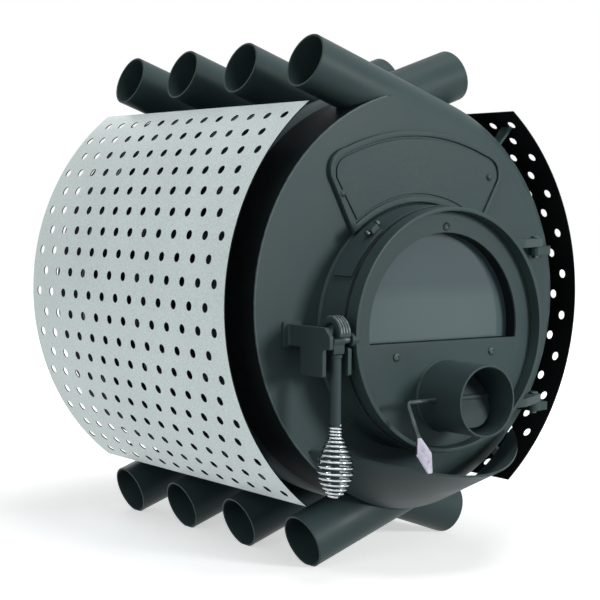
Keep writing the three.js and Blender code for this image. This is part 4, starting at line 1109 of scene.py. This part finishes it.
start, end = spigot.y0, spigot.y1
spigot_profile = [
    (FLUE - FLUE_WALL, start),
    (FLUE + FLANGE - 0.6, start),
    (FLUE + FLANGE, start + 0.6),
    (FLUE + FLANGE, start + 3.4),
    (FLUE + FLANGE - 0.6, start + 4),
    (FLUE + 3, start + 4),
    (FLUE + 2.2, start + 6),
    (FLUE, start + 7.5),
    (FLUE, end - 24),
    (FLUE + 1.4, end - 22),
    (FLUE + 1.4, end - 19),
    (FLUE, end - 17),
    (FLUE, end - 0.6),
    (FLUE - 0.6, end),
    (FLUE - FLUE_WALL + 0.6, end),
    (FLUE - FLUE_WALL, end - 0.6),
]
spigot_skin = turned("flue_spigot_skin", spigot_profile, (0, 0, spigot.z))
dress(spigot_skin, "body", "grey_paint", grey_paint, nodes=["flue_spigot"])
bolt_circle = FLUE + 7
for i in range(4):
    a = math.radians(45 + 90 * i)
    x, z = bolt_circle * math.cos(a), spigot.z + bolt_circle * math.sin(a)
    head = [(0, start + 3.8), (4, start + 3.8), (4, start + 6.4), (3.4, start + 7), (0, start + 7)]
    bolt = turned(f"flue_bolt_{i}", head, (x, 0, z), segments=6)
    dress(bolt, "body", "bolt_steel", bolt_steel, weighted=False)

# ---------------------------------------- heat shields

SHIELD_RADIUS = 340.3
SHIELD_SHEET = 1.5
SHIELD_HALF = 52.3  # angles in degrees about the shield's own centre, up from level
HOLE_ROWS = 19
HOLES = 13  # in a row
ROW_STEP = 5.32
FIRST_ROW = 47.6
HOLE_PITCH = 39.5
FIRST_HOLE = -12.5
HOLE_RADIUS = 6.6
CELL = 4  # steps along each side of a hole's cell


def shield(name, side):
    """A curved sheet with staggered rows of round holes, silver outside and black inside, its cut edges and
    hole walls black as painted shade.
    """
    box = Span(name)
    centre = side * (abs(box.x1 if side > 0 else box.x0) - SHIELD_RADIUS)
    vertices, faces, index = [], [], {}

    def vertex(angle, y):
        key = (round(angle, 4), round(y, 3))
        if key not in index:
            a = math.radians(angle)
            index[key] = len(vertices)
            vertices.append((centre + side * SHIELD_RADIUS * math.cos(a), y, SHIELD_RADIUS * math.sin(a)))
        return index[key]

    def patch(angles, ys):
        for a0, a1 in zip(angles, angles[1:]):
            for y0, y1 in zip(ys, ys[1:]):
                faces.append((vertex(a0, y0), vertex(a0, y1), vertex(a1, y1), vertex(a1, y0)))

    def steps(start, end, parts):
        return [start + (end - start) * i / parts for i in range(parts + 1)]

    def holed_cell(angle, y):
        """A square of sheet round one hole, with matching steps along its edges."""
        half_a, half_y = ROW_STEP / 2, HOLE_PITCH / 2
        edge = steps(-1, 1, CELL)
        ring = [(-1, t) for t in edge[:-1]] + [(t, 1) for t in edge[:-1]]
        ring += [(1, -t) for t in edge[:-1]] + [(-t, -1) for t in edge[:-1]]
        outer = [vertex(angle + u * half_a, y + v * half_y) for u, v in ring]
        turns = [math.atan2(v, u) for u, v in ring]
        reach = math.degrees(HOLE_RADIUS / SHIELD_RADIUS)
        inner = [vertex(angle + reach * math.cos(a), y + HOLE_RADIUS * math.sin(a)) for a in turns]
        for i in range(len(ring)):
            n = (i + 1) % len(ring)
            faces.append((outer[i], outer[n], inner[n], inner[i]))

    grid = [FIRST_HOLE + HOLE_PITCH * (i / CELL - 0.5) for i in range(2 * HOLES * CELL)]
    for row in range(HOLE_ROWS):
        angle = FIRST_ROW - row * ROW_STEP
        start = FIRST_HOLE + (HOLE_PITCH / 2 if row % 2 else 0)
        ys = [start + HOLE_PITCH * i for i in range(HOLES)]
        for y in ys:
            holed_cell(angle, y)
        angles = steps(angle - ROW_STEP / 2, angle + ROW_STEP / 2, CELL)
        low, high = ys[0] - HOLE_PITCH / 2, ys[-1] + HOLE_PITCH / 2
        patch(angles, [box.y0] + [y for y in grid if box.y0 + 0.01 < y < low + 0.01])
        patch(angles, [y for y in grid if high - 0.01 < y < box.y1 - 0.01] + [box.y1])
    full = [box.y0] + [y for y in grid if box.y0 + 0.01 < y < box.y1 - 0.01] + [box.y1]
    patch(steps(FIRST_ROW + ROW_STEP / 2, SHIELD_HALF, 2), full)
    patch(steps(FIRST_ROW - (HOLE_ROWS - 0.5) * ROW_STEP, -SHIELD_HALF, 2), full)
    sheet = add_mesh(name + "_skin", vertices, faces)
    work = bmesh.new()
    work.from_mesh(sheet.data)
    out = Vector((side, 0, 0))
    work.faces.ensure_lookup_table()
    middle = max(work.faces, key=lambda f: f.calc_center_median().x * side)
    if middle.normal.dot(out) < 0:
        bmesh.ops.reverse_faces(work, faces=work.faces)
    work.to_mesh(sheet.data)
    work.free()
    sheet.data.materials.append(shield_steel)
    sheet.data.materials.append(shield_back_and_edge_shade)
    thick = sheet.modifiers.new("sheet", "SOLIDIFY")
    thick.thickness = SHIELD_SHEET * MM
    thick.offset = -1
    thick.material_offset = 1
    # the cut edges and hole walls take the near-black too: painted shade
    thick.material_offset_rim = 1
    dress(settled(sheet), "body", "shield_steel", nodes=[name], sharp=60, weighted=False)


shield("shield_left", -1)
shield("shield_right", 1)

# ---------------------------------------- the CAD pieces that stay, in their finishes

LOOKS = {
    "grey_paint": grey_paint,
    "wall_paint": wall_paint,
    "shield_steel": tag_steel,
    "coil_chrome": coil_chrome,
    "bolt_steel": bolt_steel,
    "fire_steel": fire_steel,
    "window_glass": window_glass,
    "gasket_rope": gasket_rope,
}
for entry in frame["record"]["subparts"]:
    node = frame["nodes"][entry["node"]]
    node.data.materials.clear()
    node.data.materials.append(LOOKS[entry["material_slot"]])

size = {"cad": [list(v) for v in cad_bounds], "visual": [list(v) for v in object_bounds()]}
